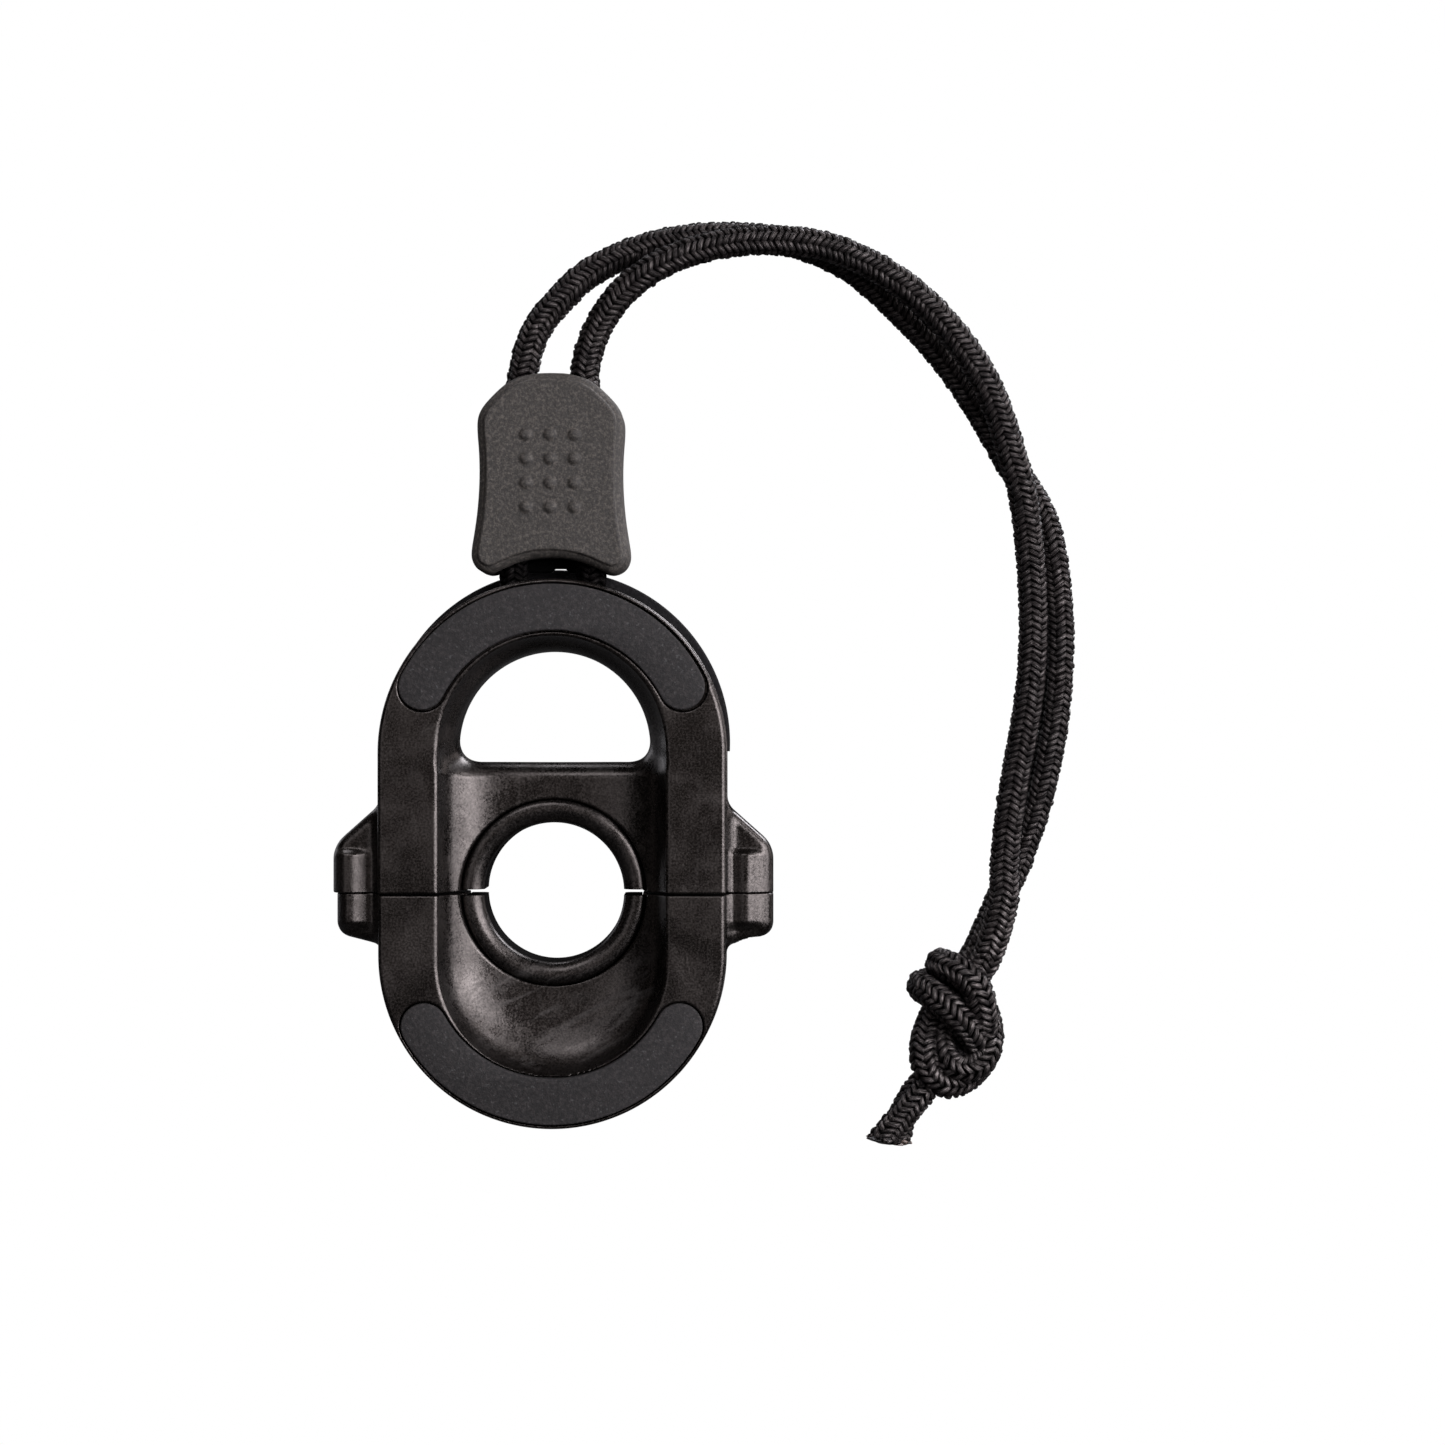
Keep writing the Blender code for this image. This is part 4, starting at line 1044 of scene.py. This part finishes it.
KNOT_B = (
    (38.1836, -1.1, -4.9038), (37.1231, -0.6, -7.0248), (36.0626, -0.3, -9.0044),
    (35.0728, -0.3, -10.8426), (34.2951, -0.7, -12.5394), (34.2951, -1.5, -14.2362),
    (35.3556, -1.9, -15.2967), (36.7696, -1.8, -15.0846), (37.7594, -1.5, -13.9534),
    (37.9715, -0.7, -12.398), (37.4766, 0.9, -10.8426), (36.204, 2.0, -9.57),
    (34.5072, 2.6, -8.7216), (32.9518, 2.2, -8.2974), (32.3155, 0.4, -8.3681),
    (32.9518, -1.7, -8.7216), (34.2244, -2.8, -9.7114), (35.497, -3.0, -10.984),
    (36.4868, -2.4, -12.2566), (36.911, -1.0, -13.5292), (36.3454, 0.2, -14.519),
    (34.9314, 0.3, -15.5088), (33.376, -0.2, -16.3572), (31.962, -1.2, -17.7712),
    (30.6894, -1.2, -19.3266), (29.5582, -1.2, -20.71232), (28.82292, -1.2, -21.589),
)

STEP = 0.24  # along the cord
PITCH = 4.6  # the cord's length in one turn of a yarn
CARRIERS = 8  # yarns that wind each way
YARN_HALF_THICK, YARN_HALF_WIDE, WAVE = 0.18, 0.258, 0.165
YARN_SIDES, CORE_SIDES = 6, 12


def distances(run):
    """The arc length at each point of a run."""
    return np.concatenate([[0], np.cumsum(np.sqrt((np.diff(run, axis=0) ** 2).sum(1)))])


def even(run, spacing):
    """The run again, in equal steps."""
    place = distances(run)
    count = max(2, int(round(place[-1] / spacing)))
    want = np.linspace(0, place[-1], count + 1)
    return np.stack([np.interp(want, place, run[:, k]) for k in range(3)], 1)


def softened(run, passes):
    for _ in range(passes):
        run[1:-1] = 0.5 * run[1:-1] + 0.25 * (run[:-2] + run[2:])
    return run


def unit(vectors):
    return vectors / np.linalg.norm(vectors, axis=1, keepdims=True)


def frames_along(run):
    """Tangent and two normals carried along without twist."""
    tangent = unit(np.gradient(run, axis=0))
    side = np.cross(tangent[0], (0, 1, 0))
    side /= np.linalg.norm(side)
    sides = [side]
    for ahead in tangent[1:]:
        side = side - ahead * (side @ ahead)
        side /= np.linalg.norm(side)
        sides.append(side)
    sides = np.array(sides)
    return tangent, sides, np.cross(tangent, sides)


def tube_faces(first, sides, steps):
    """Quads of a tube whose points are stored side by side lengthwise, then its two caps."""
    starts = first + np.arange(sides) * steps
    here = starts[:, None] + np.arange(steps - 1)
    beside = np.roll(starts, -1)[:, None] + np.arange(steps - 1)
    walls = np.stack([here, beside, beside + 1, here + 1], -1).reshape(-1, 4)
    fan = np.array([[0, i, i + 1, i + 2] for i in range(1, sides - 2, 2)])
    return np.concatenate([walls, starts[::-1][fan], (starts + steps - 1)[fan]])


class Cord:
    """A 16-carrier braided cord on a path: pieces of it are cut by arc length."""

    def __init__(self, control, per_span=10, passes=6, radii=None, phase=0.0, cut=0.0):
        run = softened(even(spline(control, per_span), STEP), passes)
        self.run = even(run, STEP)
        self.place = distances(self.run)
        self.total = self.place[-1]
        self.tangent, self.side, self.up = frames_along(self.run)
        self.scale = radii(self.place, self.total) if radii else np.ones(len(self.place))
        self.phase = phase
        self.cut = cut  # the slope of the cut end
        self.across_cut = np.array([self.tangent[-1][2], 0, -self.tangent[-1][0]])

    def nearest(self, x, z):
        """The arc length nearest to x and z."""
        gap = (self.run[:, 0] - x) ** 2 + (self.run[:, 2] - z) ** 2
        return self.place[int(np.argmin(gap))]

    def index(self, place):
        return int(np.argmin(np.abs(self.place - place)))

    def level_point(self, place):
        """The point at an arc length, put at y = 0, in the row frame."""
        return row(self.run[self.index(place)] * (1, 0, 1))

    def piece(self, name, start, end):
        keep = np.flatnonzero((self.place >= start - 1e-6) & (self.place <= end + 1e-6))
        run, side, up, tangent = (a[keep] for a in (self.run, self.side, self.up, self.tangent))
        place, scale = self.place[keep], self.scale[keep]
        steps = len(place)
        draw = np.random.default_rng(7)
        middle = CORD_R - YARN_HALF_THICK - WAVE
        near_end = np.clip((place - self.total + 2.4) / 2.4, 0, 1) ** 1.5 * self.cut
        points, faces, marks = [], [], []

        def add_line(line, *mark):
            """One lengthwise line of points; the last stretch leans with the slanted cut."""
            lean = near_end * ((line - run) @ self.across_cut)
            points.append(line + tangent * lean[:, None])
            marks.append([np.broadcast_to(value, steps) for value in mark])

        def waves(rates):
            return sum(np.sin(place * f + draw.random() * 6.28) for f in rates) / len(rates)

        for hand in (1, -1):
            for k in range(CARRIERS):
                turn = hand * 2 * math.pi * place / PITCH
                angle = 2 * math.pi * k / CARRIERS + turn + self.phase
                weave = np.cos(CARRIERS / 2 * (angle - self.phase))
                lift = np.tanh(1.9 * weave) / 0.956 * WAVE * hand
                out = np.cos(angle)[:, None] * side + np.sin(angle)[:, None] * up
                centre = run + out * ((middle + lift) * scale)[:, None]
                line = unit(np.gradient(centre, axis=0))
                wideways = unit(np.cross(line, out))
                normal = np.cross(wideways, line)
                tone = draw.random()
                wobble = waves((1.9, 4.7, 8.3))
                slack = waves((2.7, 6.1))
                fat = ((1 + 0.2 * wobble) * scale)[:, None]
                centre = centre + out * (0.045 * wobble * scale)[:, None]
                centre = centre + wideways * (0.05 * slack * scale)[:, None]
                faces.append(tube_faces(len(points) * steps, YARN_SIDES, steps))
                for j in range(YARN_SIDES):
                    around = 2 * math.pi * j / YARN_SIDES
                    flat = wideways * math.cos(around) * YARN_HALF_WIDE
                    high = normal * math.sin(around) * YARN_HALF_THICK
                    ride = lift / WAVE * 0.6 + 0.4 * math.sin(around)
                    edge = centre + flat * fat + high * fat
                    add_line(edge, place * 2.2, math.cos(around), tone, ride)
        yarn_faces = sum(len(part) for part in faces)
        faces.append(tube_faces(len(points) * steps, CORE_SIDES, steps))
        for j in range(CORE_SIDES):
            around = 2 * math.pi * j / CORE_SIDES
            out = math.cos(around) * side + math.sin(around) * up
            add_line(run + out * (middle - 0.1) * scale[:, None], place, 0.0, 0.0, -1.0)

        obj = quad_object(name, np.concatenate(points), np.concatenate(faces), YARN)
        obj.data.materials.append(CORE)
        slots = np.zeros(len(obj.data.polygons), np.int32)
        slots[yarn_faces:] = 1
        obj.data.polygons.foreach_set("material_index", slots)
        for key, values in zip(YARN_KEYS, zip(*marks)):
            made = obj.data.attributes.new(key, "FLOAT", "POINT")
            made.data.foreach_set("value", np.concatenate(values).astype(np.float32))
        return obj


def squeezed(place, total):
    """The cord is fuller in the knot, thinner just below it, and swells at the cut end."""
    left = total - place
    tail = np.clip((13.0 - left) / 4.0, 0, 1) * np.clip((left - 1.0) / 6.0, 0, 1)
    tip = np.clip((1.6 - left) / 1.6, 0, 1)
    knot = np.clip((58.0 - left) / 5.0, 0, 1) * np.clip((left - 12.0) / 4.0, 0, 1)
    return 1 + 0.05 * knot - 0.12 * tail + 0.02 * tip**2


def lay_strand(cord, label, near, far, *knot_nodes):
    """One strand in four pieces, from the slider to its end beyond the knot."""
    at_bend, at_knot = cord.nearest(*BEND), cord.nearest(*KNOT_SWING)
    root_end = cord.nearest(cord.run[0][0], 50.5)
    cuts = (0.0, root_end, (at_bend + at_knot) / 2, at_knot + 5.0, cord.total)
    cuts = [cord.place[cord.index(cut)] for cut in cuts]

    root = cord.piece(f"cord_{label}_root", cuts[0], cuts[1])
    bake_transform(root)

    loop = cord.piece(f"cord_{label}_loop", cuts[1], cuts[2])
    start, end = cord.level_point(at_bend - 4.5), cord.level_point(at_bend + 4.5)
    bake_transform(loop)
    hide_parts(near)

    fall = cord.piece(f"cord_{label}_fall", cuts[2], cuts[3])
    start, end = cord.level_point(at_knot - 5.0), cord.level_point(at_knot + 4.0)
    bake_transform(fall)
    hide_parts(far)

    tied = cord.piece(f"knot_{label}", cuts[3], cuts[4])
    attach(tied, "knot_end")
    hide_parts(*knot_nodes)


cord_a = Cord(STRAND_A + KNOT_A, radii=squeezed)
cord_b = Cord(STRAND_B + KNOT_B, radii=squeezed, phase=0.5, cut=0.48)
lay_strand(cord_a, "outer", "cord_near_outer", "cord_far_outer", "knot", "tail_back")
lay_strand(cord_b, "inner", "cord_near_inner", "cord_far_inner", "knot", "tail_front")


def legs_path():
    """Down the left leg, across the bight and up the right leg."""
    left, right = LEG_X
    turn = 1.9
    foot = BIGHT_Z + turn
    rise = LEG_END_Z - foot
    path = [(left, 0, LEG_END_Z - k * rise / 6) for k in range(7)]
    path += [(x, 0, z) for x, z in arc(left + turn, foot, turn, 180, 270, 4)[1:]]
    path += [(-0.2, 0, BIGHT_Z)]
    path += [(x, 0, z) for x, z in arc(right - turn, foot, turn, 270, 360, 4)]
    return path + [(right, 0, foot + k * rise / 6) for k in range(1, 7)]


bight = Cord(legs_path(), per_span=8, passes=2, phase=0.3)
bight_look = bight.piece("cord_bight_braid", 0, bight.total)
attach(bight_look, "frame")
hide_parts("cord_bight")

TIP_WAVES = ((2.2, 0.12), (3.6, 0.09), (6.5, 0.06), (11, 0.035), (17, 0.02))  # rate, height


def melted_end(name, cord, size, seed, look):
    """The heat-sealed tip: a squashed, uneven bead over the cut yarns."""
    tip, line = cord.run[-1], cord.tangent[-1]
    shape = bmesh.new()
    bmesh.ops.create_icosphere(shape, subdivisions=5, radius=1.0)
    draw = np.random.default_rng(seed)
    waves = [(draw.normal(size=3) * f, draw.random() * 6.28, high) for f, high in TIP_WAVES]
    side, up = cord.side[-1], cord.up[-1]
    for vert in shape.verts:
        ball = np.array(vert.co)
        bulge = 1 + sum(h * math.sin(float(ball @ rate) + shift) for rate, shift, h in waves)
        reach = size * bulge * (1 + 0.1 * max(ball[2], 0))
        off = side * ball[0] * reach + up * ball[1] * reach * 0.95
        lean = cord.cut * float(off @ cord.across_cut)
        vert.co = Vector(row(tip + off + line * (ball[2] * 0.5 * bulge - 0.1 + lean)))
    obj = bmesh_object(name, shape, look)
    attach(obj, "knot_end")


back_look = melted("cord_end_back_look", bare=0.4)
melted_end("tail_tip_back", cord_a, size=1.2, seed=3, look=back_look)
front_look = melted("cord_end_front_look", bare=0.56)
melted_end("tail_tip_front", cord_b, size=1.18, seed=11, look=front_look)


# ---------------------------------------------------------------- stage (metres)
def floor_look():
    """Dark paper to the light, plain white to the camera."""
    mat = Look("floor_look")
    paper = mat.noise(mat.position(), scale=60, detail=3)
    colour = mat.mix(paper, (0.022, 0.022, 0.022), (0.026, 0.026, 0.026))
    mat.finish(Base_Color=colour, Roughness=0.9)
    glow = mat.add("Emission", {"Color": (1, 1, 1), "Strength": 1.0}).outputs["Emission"]
    seen = mat.add("LightPath").outputs["Is Camera Ray"]
    both = mat.add("MixShader", {0: seen, 1: mat.bsdf.outputs["BSDF"], 2: glow})
    mat.put(mat.out.inputs["Surface"], both.outputs["Shader"])
    return mat.material


def lay_floor():
    """A floor that curves up into a wall behind; the profile is (y, z)."""
    floor_z = cad_box[0].z - 0.03
    half_width, wall_y, sweep = 1.4, 1.0, 0.25
    foot = wall_y - sweep
    profile = [(-0.9, 0.0), (foot, 0.0)]
    for angle in range(10, 91, 10):
        turn = math.radians(angle)
        profile.append((foot + sweep * math.sin(turn), sweep - sweep * math.cos(turn)))
    profile.append((wall_y, 1.4))
    shape = bmesh.new()
    left, right = (
        [shape.verts.new((x, y, floor_z + z)) for y, z in profile]
        for x in (-half_width, half_width)
    )
    for k in range(len(profile) - 1):
        shape.faces.new((left[k], right[k], right[k + 1], left[k + 1]))
    bmesh.ops.recalc_face_normals(shape, faces=shape.faces)
    bmesh_object("floor", shape, floor_look())


lay_floor()

# strengths of the room's own glow, its ceiling and its walls
ROOM, CEILING, SIDE_LEFT, SIDE_RIGHT, FRONT, REAR_RIGHT = 0.006, 0.2, 0.03, 0.9, 0.44, 0.75


def studio_world():
    """White to the camera; for light, a dim room with soft walls and a ceiling."""
    world = bpy.data.worlds.new("studio")
    scene.world = world
    sky = Nodes(world)
    x, y, z = sky.axes(sky.add("TexCoord").outputs["Generated"])
    left = sky.ramp(sky.times(x, -1.0), over=(0.45, 0.95), to=(0.0, SIDE_LEFT))
    right = sky.ramp(x, over=(0.2, 0.85), to=(0.0, SIDE_RIGHT))
    above = sky.ramp(z, over=(0.35, 0.9), to=(0.0, CEILING))
    front = sky.ramp(sky.times(y, -1.0), over=(0.7, 0.97), to=(0.0, FRONT))
    quarter = sky.plus(sky.times(x, 0.6), sky.times(y, 0.8))
    rear = sky.ramp(quarter, over=(0.75, 0.97), to=(0.0, REAR_RIGHT))
    walls = sky.plus(left, sky.plus(right, rear))
    light = sky.plus(walls, sky.plus(sky.plus(above, front), ROOM))
    seen = sky.add("LightPath").outputs["Is Camera Ray"]
    unseen = sky.inverse(seen)
    strength = sky.plus(sky.times(light, unseen), seen)
    tint = sky.mix(seen, (1.0, 0.91, 0.90), (1, 1, 1))
    background = sky.add("Background", {"Color": tint, "Strength": strength})
    sky.add("OutputWorld", {"Surface": background.outputs[0]})


studio_world()

scene.view_settings.view_transform = "Standard"
scene.view_settings.look = "None"
scene.view_settings.exposure = 0.0
scene.view_settings.gamma = 1.0

LIGHT_TARGET = Vector((0.01, 0.0, -0.01))
# name, place, width, height, power in watts
LAMPS = (
    ("key", (0.42, -0.52, 0.08), 0.33, 0.38, 5.6),
    ("side", (0.60, -0.24, 0.08), 0.28, 0.40, 2.9),
    ("overhead", (-0.13, -0.42, 0.43), 0.34, 0.24, 1.3),
    ("edge", (0.36, -0.22, 0.38), 0.10, 0.10, 0.45),
    ("fill", (-0.27, -0.60, 0.06), 0.20, 0.40, 0.32),
    ("rear_key", (0.42, 0.34, 0.46), 0.26, 0.40, 4.4),
    ("rear_top", (-0.12, 0.22, 0.62), 0.32, 0.24, 1.3),
    ("rear_fill", (-0.50, 0.46, 0.16), 0.24, 0.44, 0.4),
)
for name, place, width, height, power in LAMPS:
    data = bpy.data.lights.new(name, "AREA")
    data.shape = "RECTANGLE"
    data.size = width
    data.size_y = height
    data.energy = power
    data.color = (1.0, 1.0, 1.07)
    lamp = linked(name, data)
    lamp.location = place
    lamp.rotation_euler = (LIGHT_TARGET - Vector(place)).to_track_quat("-Z", "Y").to_euler()

camera = bpy.data.cameras.new("camera")
camera.sensor_width = 36
camera.lens = 72.25
camera.clip_start = 0.01
camera.clip_end = 10
view = linked("camera", camera)
view.location = row((14.74, FRONT_Y - 250.0, 14.87))
view.rotation_euler = (math.pi / 2, 0, 0)
scene.camera = view

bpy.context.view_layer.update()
